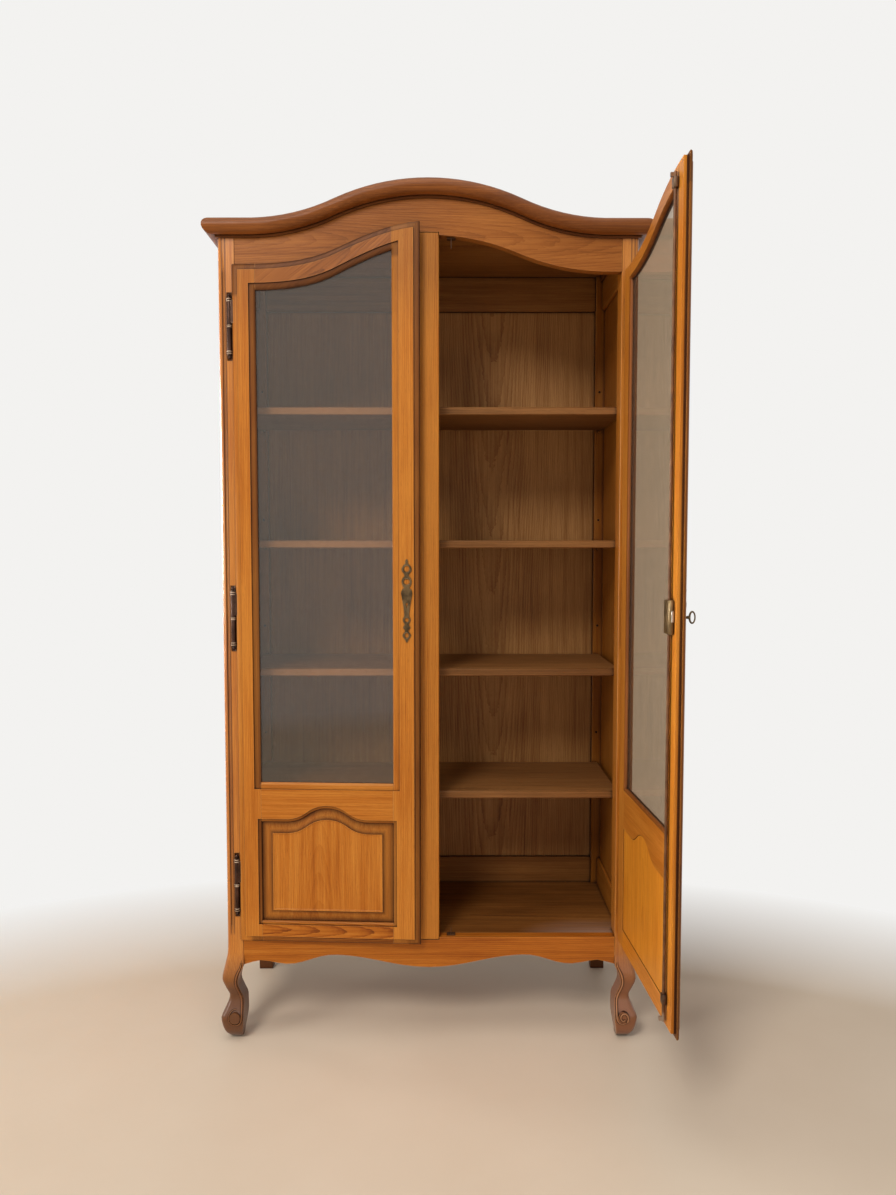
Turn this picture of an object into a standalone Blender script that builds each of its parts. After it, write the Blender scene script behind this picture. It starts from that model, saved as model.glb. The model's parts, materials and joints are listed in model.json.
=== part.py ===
"""Two-door glazed display cabinet in stained wood, French provincial style.

Metres, +Z up, X to the right, Y to the back. The origin is on the floor under the middle of the
carcase. The left door stands a little ajar and the right door stands open, and each turns about
the line of its hinge barrels.
"""
import math

import bmesh
import bpy
from mathutils import Matrix, Vector

# Carcase
DEPTH = 0.400
FRONT = -DEPTH / 2
BACK = DEPTH / 2
POST_OUT = 0.4937
POST_WIDE = 0.0402
POST_IN = POST_OUT - POST_WIDE
POST_DEPTH = 0.050
POST_ROUND = 0.010
REAR_WIDE = 0.0417
REAR_IN = POST_OUT - REAR_WIDE
REAR_DEPTH = 0.048
RAIL_SET = 0.0037
RAIL_OUT = POST_OUT - RAIL_SET
RAIL_THICK = 0.022
SIDE_PANEL_SET = 0.0077
SIDE_PANEL_OUT = POST_OUT - SIDE_PANEL_SET
SIDE_PANEL_THICK = 0.010
BACK_RAIL_SET = 0.016
BACK_PANEL_SET = 0.022
BACK_PANEL_THICK = 0.012
CORNICE_Z = 1.930
TOP_RAIL_DEEP = 0.077
TOP_RAIL_Z = CORNICE_Z - TOP_RAIL_DEEP
SIDE_RAIL_Z = (0.190, 0.330)
BACK_RAIL_Z = (0.190, 0.329)
BOARD = 0.018
CEILING_LIFT = 0.0155
CEILING = CORNICE_Z + CEILING_LIFT
EASE = 0.0012
GAP = 0.0003

# Arched head: the hat curve of frieze, cornice and doors
HAT_END = 0.0335
HAT_RUN = POST_IN - HAT_END
FRIEZE_DEEP = 0.076
HEAD_Z = CORNICE_Z - FRIEZE_DEEP
HEAD_RISE = 0.084
CREST_RISE = 0.0912
CREST_SHARE = 0.524
FRIEZE_THICK = 0.025
HAT_STEPS = 32

# Cornice section: a bold half round over a small fillet
NOSE_R = 0.0185
NOSE_P = 0.0110
NOSE_Z = 0.0230
CORNICE_BACK = 0.030
FILLET = 0.004

# Apron
APRON_TOP = 0.2575
APRON_WAVE = ((0.0, 0.1825), (POST_IN - 0.2185, 0.2135), (POST_IN - 0.1085, 0.191),
              (POST_IN - 0.0385, 0.2006), (POST_IN, 0.190))
APRON_STEPS = 44

# Mullion
MULLION_HALF = 0.0245
MULLION_THICK = 0.025
MULLION_HOUSED = 0.006
MULLION_FOOT = APRON_TOP - MULLION_HOUSED
MULLION_HEAD = HEAD_Z + HEAD_RISE + MULLION_HOUSED

# Cabriole legs: outer and inner edge against height
LEG_TOP = 0.260
LEG_OUTER = ((0.260, POST_OUT), (0.222, POST_OUT + 0.0006), (0.190, POST_OUT + 0.0063),
             (0.158, POST_OUT + 0.0123), (0.130, POST_OUT + 0.0048), (0.108, POST_OUT - 0.0022),
             (0.085, POST_OUT + 0.0048), (0.060, POST_OUT + 0.0153), (0.032, POST_OUT + 0.0108),
             (0.012, POST_OUT + 0.0028), (0.0, POST_OUT - 0.0032))
LEG_INNER = ((0.260, POST_IN), (0.190, POST_IN), (0.168, POST_IN + 0.0105), (0.146, POST_IN + 0.0140),
             (0.120, POST_IN + 0.0075), (0.095, POST_IN + 0.0005), (0.060, POST_IN),
             (0.030, POST_IN + 0.0040), (0.0, POST_IN + 0.0085))
LEG_STEPS = 30
EYE_Z = 0.062
EYE_R = 0.0135
EYE_FROM_EDGE = 0.0345
EYE_PROUD = 0.0035
TOE = 0.030
TOE_BACK = 0.020

# Flute beside the rounded corner of the front posts
FLUTE_INSET = 0.0142
FLUTE_X = POST_OUT - FLUTE_INSET
FLUTE_R = 0.0042
FLUTE_STOP = 0.058
FLUTE_Z = (LEG_TOP + 0.008, CORNICE_Z - FLUTE_STOP)

# Shelves
SHELF_TOPS = (1.5477, 1.2259, 0.9114, 0.6057)
SHELF_THICK = 0.019
SHELF_GAP = 0.002
SHELF_SIDE_GAP = 0.001
SHELF_HALF = RAIL_OUT - RAIL_THICK - SHELF_SIDE_GAP
PIN_R = 0.0035
PIN_OUT = 0.012
PIN_INSET = 0.004
PIN_X = SHELF_HALF - PIN_INSET
SPARE_HOLES = (1.6334, 1.2832, 0.9900, 0.6900)

# Doors
LAP_SIDE = 0.0055
LAP_HINGE = 0.006
LAP_TOP = {"left": 0.0150, "right": 0.0070}
DOOR_RISE = {"left": 0.0075, "right": -0.0045}
DOOR_SAG = {"left": 0.0115, "right": 0.0}
LAP_FOOT = 0.006
FIT = 0.003
LIP_THICK = 0.0105
BODY_THICK = 0.009
LIP_GAP = 0.0005
EDGE_MOULD = 0.0115
EDGE_FLAT = 0.0025
MOULD_STEP = 0.003
STILE = 0.050
SIGHT_OUT = POST_IN - STILE
SIGHT_IN = 0.0845
GLASS_FOOT = 0.6445
GLASS_RISE = {"left": 0.016, "right": -0.0045}
GLASS_SAG = {"left": 0.015, "right": 0.0}
TOP_RAIL_DROP = {"left": 0.0465, "right": 0.036}
GLASS_MOULD = 0.013
GLASS_MOULD_DEEP = 0.004
GLASS_REBATE = 0.006
GLASS_Y = (-0.0022, 0.0008)
PANEL_FOOT = 0.3045
PANEL_SHOULDER = 0.5475
ARCH_RUN = 0.099
ARCH_RISE = 0.034
PANEL_MOULD = 0.0055
PANEL_MOULD_DEEP = 0.0048
PANEL_GROOVE = 0.010
PANEL_TONGUE = (-0.0012, 0.0048)
PANEL_BACK = 0.0080
PANEL_QUIRK = 0.0013
FIELD_INSET = 0.029
FIELD_Y = -0.0068
FIELD_BEAD = 0.0016
DOOR_STEPS = 16
AJAR_LEFT = 3.0
OPEN_RIGHT = 93.2

# Hinges
HINGE_INSET = 0.0135
HINGE_X = POST_IN + HINGE_INSET
HINGE_FWD = 0.0025
HINGE_DROP = 0.128
HINGE_Z = (HEAD_Z - HINGE_DROP, 1.039, 0.389)
KNUCKLE_R = 0.0055
PIN_HINGE_R = 0.0026
CHANNEL_R = 0.0068
HINGE_HALF = 0.076
BLADE = 0.0014
TURN_STEPS = 10

# Lock
ESCUTCHEON_X = 0.0505
ESCUTCHEON_Z = 1.083
ESCUTCHEON_THICK = 0.0016
KEY_DROP = 0.0075
KEY_Z = ESCUTCHEON_Z - KEY_DROP
KEY_R = 0.0024
KEYHOLE_R = 0.0032
BOW_W = 0.0100
BOW_H = 0.0130
BOW_WIRE = 0.0019
CASE_EDGE = 0.007
CASE_WIDE = 0.036
CASE_X = (ESCUTCHEON_X - CASE_EDGE, ESCUTCHEON_X - CASE_EDGE + CASE_WIDE)
CASE_HALF = 0.0335
CASE_Z = (KEY_Z - CASE_HALF, KEY_Z + CASE_HALF)
CASE_DEEP = 0.010
ROD_X = 0.060
ROD_R = 0.0032
ROD_FOOT_GAP = 0.0115
ROD_HEAD_GAP = 0.021
ROD_Z = (APRON_TOP + ROD_FOOT_GAP, HEAD_Z + HEAD_RISE - ROD_HEAD_GAP)
ROD_BORE_R = 0.0036
HOOK_LONG = 0.0095
HOOK_WIDE = 0.005
HOOK_TALL = 0.008
HOOK_END = 0.002
HOOK_LOW = (ROD_Z[0] + HOOK_END, ROD_Z[0] + HOOK_END + HOOK_TALL)
HOOK_HIGH = (ROD_Z[1] - HOOK_END - HOOK_TALL, ROD_Z[1] - HOOK_END)
GUIDE_HALF = 0.007
GUIDE_TALL = 0.020
GUIDE_LOW = (ROD_Z[0] + 0.036, ROD_Z[0] + 0.036 + GUIDE_TALL)
GUIDE_HIGH = (HOOK_HIGH[0] - 0.0004 - GUIDE_TALL, HOOK_HIGH[0] - 0.0004)
CATCH_PIN_R = 0.0010
CATCH_X = 0.0533


for old in list(bpy.data.objects):
    bpy.data.objects.remove(old, do_unlink=True)

PARTS = bpy.data.collections.new("display_cabinet")
CUTTERS = bpy.data.collections.new("cutters")
for group in (PARTS, CUTTERS):
    bpy.context.scene.collection.children.link(group)


def material(name, colour, roughness, metallic=0.0, transmission=0.0):
    made = bpy.data.materials.new(name)
    made.use_nodes = True
    shader = made.node_tree.nodes["Principled BSDF"]
    shader.inputs["Base Color"].default_value = (*colour, 1.0)
    shader.inputs["Roughness"].default_value = roughness
    shader.inputs["Metallic"].default_value = metallic
    shader.inputs["Transmission Weight"].default_value = transmission
    return made


WOOD = material("honey_stained_wood", (0.42, 0.17, 0.035), 0.38)
INNER = material("inner_wood", (0.26, 0.12, 0.035), 0.5)
GLASS = material("window_glass", (0.92, 0.95, 0.94), 0.03, 0.0, 1.0)
BRONZE = material("aged_bronze", (0.16, 0.11, 0.06), 0.42, 0.9)
IRON = material("browned_iron", (0.09, 0.06, 0.045), 0.5, 0.8)


class Body:
    """A rigid body with its pivot in the closed position and an empty that carries it."""

    def __init__(self, name, pivot, parent=None, turn=0.0):
        self.pivot = Vector(pivot)
        self.empty = None
        if name:
            self.empty = bpy.data.objects.new(name, None)
            PARTS.objects.link(self.empty)
            self.empty.location = self.pivot
            self.empty.rotation_euler = (0.0, 0.0, math.radians(turn))
        if parent and parent.empty:
            self.empty.parent = parent.empty
            self.empty.location = self.pivot - parent.pivot


CARCASE = Body("", (0.0, 0.0, 0.0))
LEFT = Body("left_door_axis", (-HINGE_X, FRONT - HINGE_FWD, 0.0), None, -AJAR_LEFT)
RIGHT = Body("right_door_axis", (HINGE_X, FRONT - HINGE_FWD, 0.0), None, OPEN_RIGHT)
INSIDE = FRONT + BODY_THICK
ROD_Y = INSIDE + GAP + CASE_DEEP / 2
KEY = Body("key_axis", (ESCUTCHEON_X, FRONT, KEY_Z), RIGHT)
ROD = Body("rod_axis", (ROD_X, ROD_Y, 0.0), RIGHT)


def put(name, mesh, look, body=CARCASE, cutter=False):
    """An object for the mesh, whose points are those of the closed cabinet."""
    mesh.transform(Matrix.Translation(-body.pivot))
    made = bpy.data.objects.new(name, mesh)
    made.parent = body.empty
    if cutter:
        CUTTERS.objects.link(made)
        made.hide_render = True
        made.display_type = "WIRE"
    else:
        PARTS.objects.link(made)
        mesh.materials.append(look)
    return made


def boolean(target, tool, operation="DIFFERENCE"):
    step = target.modifiers.new(tool.name, "BOOLEAN")
    step.solver = "EXACT"
    step.operation = operation
    step.object = tool


def ease_edges(target, width=EASE):
    step = target.modifiers.new("eased_edges", "BEVEL")
    step.width = width
    step.segments = 1
    step.limit_method = "ANGLE"
    step.angle_limit = math.radians(40)


def to_mesh(bm, name, smooth=False):
    mesh = bpy.data.meshes.new(name)
    bmesh.ops.recalc_face_normals(bm, faces=bm.faces)
    bm.to_mesh(mesh)
    bm.free()
    if smooth:
        mesh.shade_smooth()
        mesh.set_sharp_from_angle(angle=math.radians(35))
    return mesh


def add_box(bm, low, high):
    low = Vector(low)
    high = Vector(high)
    made = bmesh.ops.create_cube(bm, size=1.0)["verts"]
    bmesh.ops.scale(bm, vec=high - low, verts=made)
    bmesh.ops.translate(bm, vec=(low + high) / 2, verts=made)


def add_round(bm, start, end, radius, sides):
    start = Vector(start)
    end = Vector(end)
    run = end - start
    turn = run.to_track_quat("Z", "Y").to_matrix().to_4x4()
    bmesh.ops.create_cone(
        bm, cap_ends=True, segments=sides, radius1=radius, radius2=radius, depth=run.length,
        matrix=Matrix.Translation((start + end) / 2) @ turn)


def board(name, low, high, look=WOOD, body=CARCASE, ease=EASE):
    bm = bmesh.new()
    add_box(bm, low, high)
    made = put(name, to_mesh(bm, name), look, body)
    if ease:
        ease_edges(made, ease)
    return made


def loft(name, rings, smooth=True):
    """A closed skin through rings of equal count, with flat ends."""
    bm = bmesh.new()
    rows = [[bm.verts.new(point) for point in ring] for ring in rings]
    count = len(rows[0])
    for above, below in zip(rows, rows[1:]):
        for k in range(count):
            after = (k + 1) % count
            bm.faces.new((above[k], above[after], below[after], below[k]))
    bm.faces.new(rows[0])
    bm.faces.new(rows[-1])
    return to_mesh(bm, name, smooth)


def loft_through(name, layers):
    """A loft in depth: each layer is a depth and an outline of (x, z)."""
    return loft(name, [[(x, FRONT + y, z) for x, z in outline] for y, outline in layers])


def flat_shape(name, loops, low, high, upright=True):
    """A filled outline with its holes, given thickness between two depths or two heights."""
    data = bpy.data.curves.new(name, "CURVE")
    data.dimensions = "2D"
    data.fill_mode = "BOTH"
    data.extrude = (high - low) / 2
    for loop in loops:
        spline = data.splines.new("POLY")
        spline.points.add(len(loop) - 1)
        for point, (x, y) in zip(spline.points, loop):
            point.co = (x, y, 0.0, 1.0)
        spline.use_cyclic_u = True
    guide = bpy.data.objects.new(name + "_outline", data)
    bpy.context.scene.collection.objects.link(guide)
    if upright:
        guide.rotation_euler = (math.pi / 2, 0.0, 0.0)
        guide.location = (0.0, (low + high) / 2, 0.0)
    else:
        guide.location = (0.0, 0.0, (low + high) / 2)
    return curve_mesh(guide, name)


def curve_mesh(guide, name, smooth=False):
    """The curve's solid as a welded mesh in world space. The curve is removed."""
    bpy.context.view_layer.update()
    graph = bpy.context.evaluated_depsgraph_get()
    mesh = bpy.data.meshes.new_from_object(guide.evaluated_get(graph))
    mesh.transform(guide.matrix_world)
    bpy.data.objects.remove(guide, do_unlink=True)
    bm = bmesh.new()
    bm.from_mesh(mesh)
    bpy.data.meshes.remove(mesh)
    bmesh.ops.remove_doubles(bm, verts=bm.verts, dist=0.00001)
    return to_mesh(bm, name, smooth)


def mirrored(mesh):
    twin = mesh.copy()
    twin.transform(Matrix.Scale(-1.0, 4, (1.0, 0.0, 0.0)))
    twin.flip_normals()
    return twin


def for_side(mesh, side):
    """The mesh as drawn for the left side, or mirrored for the right."""
    return mesh if side == "left" else mirrored(mesh)


def hat(x, run, rise, share=0.5):
    """Height of the hat curve at a distance from its middle: a crown arc that eases into hollow arcs."""
    x = abs(x)
    if x >= run:
        return 0.0
    bend = 2 * math.atan2(rise, run)
    both = run / math.sin(bend)
    crown = both * share
    hollow = both - crown
    if x <= crown * math.sin(bend):
        return rise - crown + math.sqrt(crown * crown - x * x)
    return hollow - math.sqrt(hollow * hollow - (run - x) ** 2)


def head(x):
    return HEAD_Z + hat(x, HAT_RUN, HEAD_RISE)


def crest(x):
    return CORNICE_Z + hat(x, HAT_RUN, CREST_RISE, CREST_SHARE)


def steps(low, high, count):
    return [low + (high - low) * k / count for k in range(count + 1)]


def slope_at(points, k):
    """Slope of the smooth curve at one of its points, level at each end and at each turn."""
    if k in (0, len(points) - 1):
        return 0.0
    (p0, v0), (p1, v1), (p2, v2) = points[k - 1:k + 2]
    before = (v1 - v0) / (p1 - p0)
    after = (v2 - v1) / (p2 - p1)
    if before * after <= 0.0:
        return 0.0
    return 2 * before * after / (before + after)


def smooth_through(points, at):
    """Cubic curve through (position, value) pairs, listed from high to low position."""
    k = 0
    while k < len(points) - 2 and at < points[k + 1][0]:
        k += 1
    (p0, v0), (p1, v1) = points[k], points[k + 1]
    run = p1 - p0
    t = min(max((at - p0) / run, 0.0), 1.0)
    m0 = slope_at(points, k) * run
    m1 = slope_at(points, k + 1) * run
    return ((2 * t ** 3 - 3 * t ** 2 + 1) * v0 + (t ** 3 - 2 * t ** 2 + t) * m0
            + (3 * t ** 2 - 2 * t ** 3) * v1 + (t ** 3 - t ** 2) * m1)


def wave(x, points):
    """A line that swings smoothly between its high and low points."""
    x = abs(x)
    for (x0, z0), (x1, z1) in zip(points, points[1:]):
        if x <= x1:
            t = (x - x0) / (x1 - x0)
            return z0 + (z1 - z0) * (1 - math.cos(math.pi * t)) / 2
    return points[-1][1]


# Front posts with cabriole legs

def toe_roll(z):
    """How far the front of the foot turns under towards the floor."""
    fall = max(0.0, (TOE - z) / TOE)
    return TOE_BACK * (1 - math.sqrt(1 - fall * fall))


def post_ring(z):
    """Section of the right front post or leg, from its inner front edge round to its inner back edge."""
    outer = smooth_through(LEG_OUTER, min(z, LEG_TOP))
    inner = smooth_through(LEG_INNER, min(z, LEG_TOP))
    front = FRONT - (outer - POST_OUT) + toe_roll(z)
    back = FRONT + POST_DEPTH - (inner - POST_IN)
    ring = [(inner, front + EASE, z), (inner + EASE, front, z)]
    for angle in steps(-90, 0, 4):
        turn = math.radians(angle)
        ring.append((outer - POST_ROUND + POST_ROUND * math.cos(turn),
                     front + POST_ROUND + POST_ROUND * math.sin(turn), z))
    ring.append((outer, back - 2 * EASE, z))
    ring.append((outer - 2 * EASE, back, z))
    ring.append((inner, back, z))
    return ring


def shelf_pin_heights():
    return [top - SHELF_THICK - GAP - PIN_R for top in SHELF_TOPS]


def front_post(side):
    rings = [post_ring(z) for z in [CORNICE_Z - GAP] + steps(LEG_TOP, 0.0, LEG_STEPS)]
    sign = -1.0 if side == "left" else 1.0
    skin = loft("front_post", rings)
    made = put(f"front_{side}_post", mirrored(skin) if side == "left" else skin, WOOD)

    joined = bmesh.new()
    for z in shelf_pin_heights():
        root = FRONT + POST_DEPTH
        add_round(joined, (sign * PIN_X, root - 0.006, z), (sign * PIN_X, root + PIN_OUT, z), PIN_R, 8)
    edge = smooth_through(LEG_OUTER, EYE_Z)
    face = FRONT - (edge - POST_OUT)
    across = edge - EYE_FROM_EDGE
    start = (sign * across, face + 0.012, EYE_Z)
    add_round(joined, start, (sign * across, face - EYE_PROUD, EYE_Z), EYE_R, 18)
    boolean(made, put(f"{side}_post_joined", to_mesh(joined, "joined"), None, CARCASE, True), "UNION")

    channels = bmesh.new()
    slots = bmesh.new()
    axis = FRONT - HINGE_FWD
    half = BLADE / 2 + GAP
    x = sign * HINGE_X
    for z in HINGE_Z:
        reach = HINGE_HALF + 0.003
        add_round(channels, (x, axis, z - reach), (x, axis, z + reach), CHANNEL_R, 16)
        add_box(slots, (x - half, axis, z - 0.060 - GAP), (x + half, axis + 0.0225, z - 0.008 + GAP))
    boolean(made, put(f"{side}_post_channels", to_mesh(channels, "channels"), None, CARCASE, True))
    boolean(made, put(f"{side}_post_slots", to_mesh(slots, "slots"), None, CARCASE, True))

    flute = [(FLUTE_Z[0], 0.0003), (FLUTE_Z[0] + 0.022, FLUTE_R),
             (FLUTE_Z[1] - 0.022, FLUTE_R), (FLUTE_Z[1], 0.0003)]
    rings = []
    for z, radius in flute:
        rings.append([(sign * FLUTE_X + radius * math.cos(a), FRONT - 0.0012 + radius * math.sin(a), z)
                      for a in steps(0, 2 * math.pi, 10)[:-1]])
    boolean(made, put(f"{side}_post_flute", loft("flute", rings), None, CARCASE, True))


def rear_post(side):
    """A square post with a tapered foot, a shoulder up to the ceiling, and pins for the shelves."""
    sign = -1.0 if side == "left" else 1.0
    face = BACK - REAR_DEPTH
    rings = []
    for z, taper in ((CORNICE_Z - GAP, 0.0), (SIDE_RAIL_Z[0], 0.0), (0.0, 1.0)):
        inner = sign * (REAR_IN + 0.004 * taper)
        front = face + 0.018 * taper
        outer = sign * POST_OUT
        rings.append([(inner, front, z), (outer, front, z), (outer, BACK, z), (inner, BACK, z)])
    made = put(f"rear_{side}_post", loft(f"rear_{side}_post", rings), WOOD)
    ease_edges(made)
    pins = bmesh.new()
    low, high = sorted((sign * REAR_IN, sign * (POST_OUT - CORNICE_BACK - GAP)))
    add_box(pins, (low, face, CORNICE_Z - 0.004), (high, BACK, CEILING - GAP))
    for z in shelf_pin_heights():
        add_round(pins, (sign * PIN_X, face + 0.006, z), (sign * PIN_X, face - PIN_OUT, z), PIN_R, 8)
    boolean(made, put(f"rear_{side}_pins", to_mesh(pins, "pins"), None, CARCASE, True), "UNION")
    holes = bmesh.new()
    for z in SPARE_HOLES:
        add_round(holes, (sign * PIN_X, face - 0.004, z), (sign * PIN_X, face + 0.010, z), PIN_R, 8)
    boolean(made, put(f"rear_{side}_holes", to_mesh(holes, "holes"), None, CARCASE, True))


for side in ("left", "right"):
    front_post(side)
    rear_post(side)


# Front frame: frieze, apron and mullion

def notch(z):
    """The housing for the end of the mullion."""
    half = MULLION_HALF + GAP
    return [(half, z), (-half, z)]


def span(low, high, count):
    """Stations either side of the mullion's housing, from right to left."""
    half = MULLION_HALF + GAP
    right = [x for x in steps(high, 0.0, count) if x > half + 0.004]
    return right + [half], [-half] + [-x for x in reversed(right)]


reach = POST_IN - GAP
right_run, left_run = span(-reach, reach, HAT_STEPS // 2)
under = [(x, head(x)) for x in right_run] + notch(MULLION_HEAD + GAP) + [(x, head(x)) for x in left_run]
over = [(x, crest(x) - GAP) for x in steps(-reach, reach, HAT_STEPS)]
put("front_frieze", flat_shape("frieze", [under + over], FRONT, FRONT + FRIEZE_THICK), WOOD)

top_edge = [(x, APRON_TOP) for x in (reach, MULLION_HALF + GAP)] + notch(MULLION_FOOT - GAP)
top_edge += [(x, APRON_TOP) for x in (-MULLION_HALF - GAP, -reach)]
foot_edge = [(x, wave(x, APRON_WAVE)) for x in steps(-reach, reach, APRON_STEPS)]
apron = put("front_apron", flat_shape("apron", [top_edge + foot_edge], FRONT, FRONT + FRIEZE_THICK), WOOD)

board("centre_mullion", (-MULLION_HALF, FRONT, MULLION_FOOT),
      (MULLION_HALF, FRONT + MULLION_THICK, MULLION_HEAD), WOOD, CARCASE, 0.002)


# Cornice

def cornice_section():
    """(projection, height) round the moulding, from its back lower edge outwards."""
    section = [(-CORNICE_BACK, 0.0), (FILLET, 0.0), (FILLET, FILLET), (FILLET + 0.002, FILLET)]
    for angle in steps(-110, 90, 10):
        turn = math.radians(angle)
        section.append((NOSE_P + NOSE_R * math.cos(turn), NOSE_Z + NOSE_R * math.sin(turn)))
    section.append((-CORNICE_BACK, NOSE_Z + NOSE_R))
    return section


SECTION = cornice_section()
rings = [[(-POST_OUT - p, FRONT - p, CORNICE_Z + z) for p, z in SECTION]]
for x in steps(-HAT_RUN - 0.012, HAT_RUN + 0.012, HAT_STEPS + 4):
    rings.append([(x, FRONT - p, crest(x) + z) for p, z in SECTION])
rings.append([(POST_OUT + p, FRONT - p, CORNICE_Z + z) for p, z in SECTION])
put("cornice_front", loft("cornice_front", rings), WOOD)

mitre = [(POST_OUT + p, FRONT - p + 2 * GAP, CORNICE_Z + z) for p, z in SECTION]
square = [(POST_OUT + p, BACK, CORNICE_Z + z) for p, z in SECTION]
put("cornice_right", loft("cornice_right", [mitre, square]), WOOD)
put("cornice_left", mirrored(loft("cornice_left", [mitre, square])), WOOD)

inner = POST_OUT - CORNICE_BACK - GAP
board("top_board", (-inner, FRONT + CORNICE_BACK + GAP, CEILING), (inner, BACK, CEILING + BOARD), INNER)


# Sides, back, floor and shelves

side_run = (FRONT + POST_DEPTH + GAP, BACK - REAR_DEPTH - GAP)
for side, sign in (("left", -1.0), ("right", 1.0)):
    low, high = sorted((sign * (RAIL_OUT - RAIL_THICK), sign * RAIL_OUT))
    near, far = side_run
    board(f"{side}_side_top_rail", (low, near, TOP_RAIL_Z), (high, far, CORNICE_Z - GAP), WOOD)
    board(f"{side}_side_bottom_rail", (low, near, SIDE_RAIL_Z[0]), (high, far, SIDE_RAIL_Z[1]), WOOD)
    low, high = sorted((sign * (SIDE_PANEL_OUT - SIDE_PANEL_THICK), sign * SIDE_PANEL_OUT))
    board(f"{side}_side_panel", (low, near, SIDE_RAIL_Z[1] + GAP), (high, far, TOP_RAIL_Z - GAP), WOOD)

across = REAR_IN - GAP
rail_y = (BACK - REAR_DEPTH + 0.010, BACK - BACK_RAIL_SET)
panel_y = (BACK - BACK_PANEL_SET - BACK_PANEL_THICK + 0.004, BACK - BACK_PANEL_SET + 0.004)
board("back_top_rail", (-across, rail_y[0], TOP_RAIL_Z), (across, rail_y[1], CEILING - GAP), INNER)
board("back_bottom_rail", (-across, rail_y[0], BACK_RAIL_Z[0]), (across, rail_y[1], BACK_RAIL_Z[1]), INNER)
board("back_panel", (-across, panel_y[0], BACK_RAIL_Z[1] + GAP),
      (across, panel_y[1], TOP_RAIL_Z - GAP), INNER)

front_y = FRONT + FRIEZE_THICK + GAP
post_y = FRONT + POST_DEPTH + GAP
rear_y = BACK - REAR_DEPTH - GAP
wide = RAIL_OUT - RAIL_THICK - GAP
floor = [(-reach, front_y), (reach, front_y), (reach, post_y), (wide, post_y), (wide, rear_y),
         (across, rear_y), (across, rail_y[0] - GAP), (-across, rail_y[0] - GAP), (-across, rear_y),
         (-wide, rear_y), (-wide, post_y), (-reach, post_y)]
put("floor_board", flat_shape("floor_board", [floor], APRON_TOP - BOARD, APRON_TOP, False), INNER)

for number, top in enumerate(SHELF_TOPS, 1):
    board(f"shelf_{number}", (-SHELF_HALF, FRONT + POST_DEPTH + SHELF_GAP, top - SHELF_THICK),
          (SHELF_HALF, BACK - REAR_DEPTH - SHELF_GAP, top), INNER, CARCASE, 0.0025)


# Door frames, glass and panels, drawn for the left door

def leaf(x0, x1, foot, lift, rise=0.0, sag=0.0):
    """Outline of a door or pane: its top follows the arched head, with a rise at the crown and a sag."""
    top = []
    for x in steps(x1, x0, DOOR_STEPS):
        crown = hat(x, HAT_RUN, HEAD_RISE) / HEAD_RISE
        flank = math.sin(math.pi * min(abs(x) / HAT_RUN, 1.0)) ** 2
        top.append((x, head(x) + lift + rise * crown - sag * flank))
    return [(x0, foot), (x1, foot)] + top


def lip(inset, side):
    return leaf(-POST_IN - LAP_HINGE + inset, -MULLION_HALF + LAP_SIDE - inset,
                APRON_TOP - LAP_FOOT + inset, LAP_TOP[side] - inset, DOOR_RISE[side], DOOR_SAG[side])


def pane(spread, side):
    return leaf(-SIGHT_OUT - spread, -SIGHT_IN + spread, GLASS_FOOT - spread,
                spread - TOP_RAIL_DROP[side], GLASS_RISE[side], GLASS_SAG[side])


def field(spread):
    """Outline of the lower panel, with an arched top between flat shoulders."""
    x0 = -SIGHT_OUT - spread
    x1 = -SIGHT_IN + spread
    middle = (x0 + x1) / 2
    top = []
    for x in steps(x1, x0, 2 * DOOR_STEPS):
        top.append((x, PANEL_SHOULDER + spread + hat(x - middle, ARCH_RUN, ARCH_RISE)))
    return [(x0, PANEL_FOOT - spread), (x1, PANEL_FOOT - spread)] + top


def thumb(width, deep, start, outline):
    """Layers of a rounded mould that starts flush with the face and turns down into the depth."""
    layers = []
    for angle in (0, 30, 60, 90):
        turn = math.radians(angle)
        layers.append((start + deep * (1 - math.cos(turn)), outline(width * (1 - math.sin(turn)))))
    return layers


FACE = -LIP_THICK


def door_layers(side):
    """The whole leaf in depth: a moulded lip over the front of the case, then the body inside it."""
    def edge(inset):
        return lip(inset, side)

    body_line = leaf(-POST_IN + FIT, -MULLION_HALF - FIT, APRON_TOP + FIT, -FIT)
    top = edge(EDGE_MOULD + MOULD_STEP)
    layers = [(FACE, top), (FACE + MOULD_STEP, top)]
    layers += thumb(EDGE_MOULD, LIP_THICK - MOULD_STEP - EDGE_FLAT, FACE + MOULD_STEP, edge)
    return layers + [(-LIP_GAP, edge(0.0)), (-LIP_GAP, body_line), (BODY_THICK, body_line)]


def pane_layers(side):
    """The opening for the glass: a mould on the face, and a rebate from behind."""
    def edge(spread):
        return pane(spread, side)

    top = edge(GLASS_MOULD + MOULD_STEP)
    layers = [(FACE - 0.002, top), (FACE + MOULD_STEP, top)]
    layers += thumb(GLASS_MOULD, GLASS_MOULD_DEEP, FACE + MOULD_STEP, edge)
    seat = GLASS_Y[0] - GAP
    return layers + [(seat, edge(0.0)), (seat, edge(GLASS_REBATE)), (BODY_THICK + 0.002, edge(GLASS_REBATE))]


def glass_layers(side):
    line = pane(GLASS_REBATE - 0.0005, side)
    return [(GLASS_Y[0], line), (GLASS_Y[1], line)]


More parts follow.
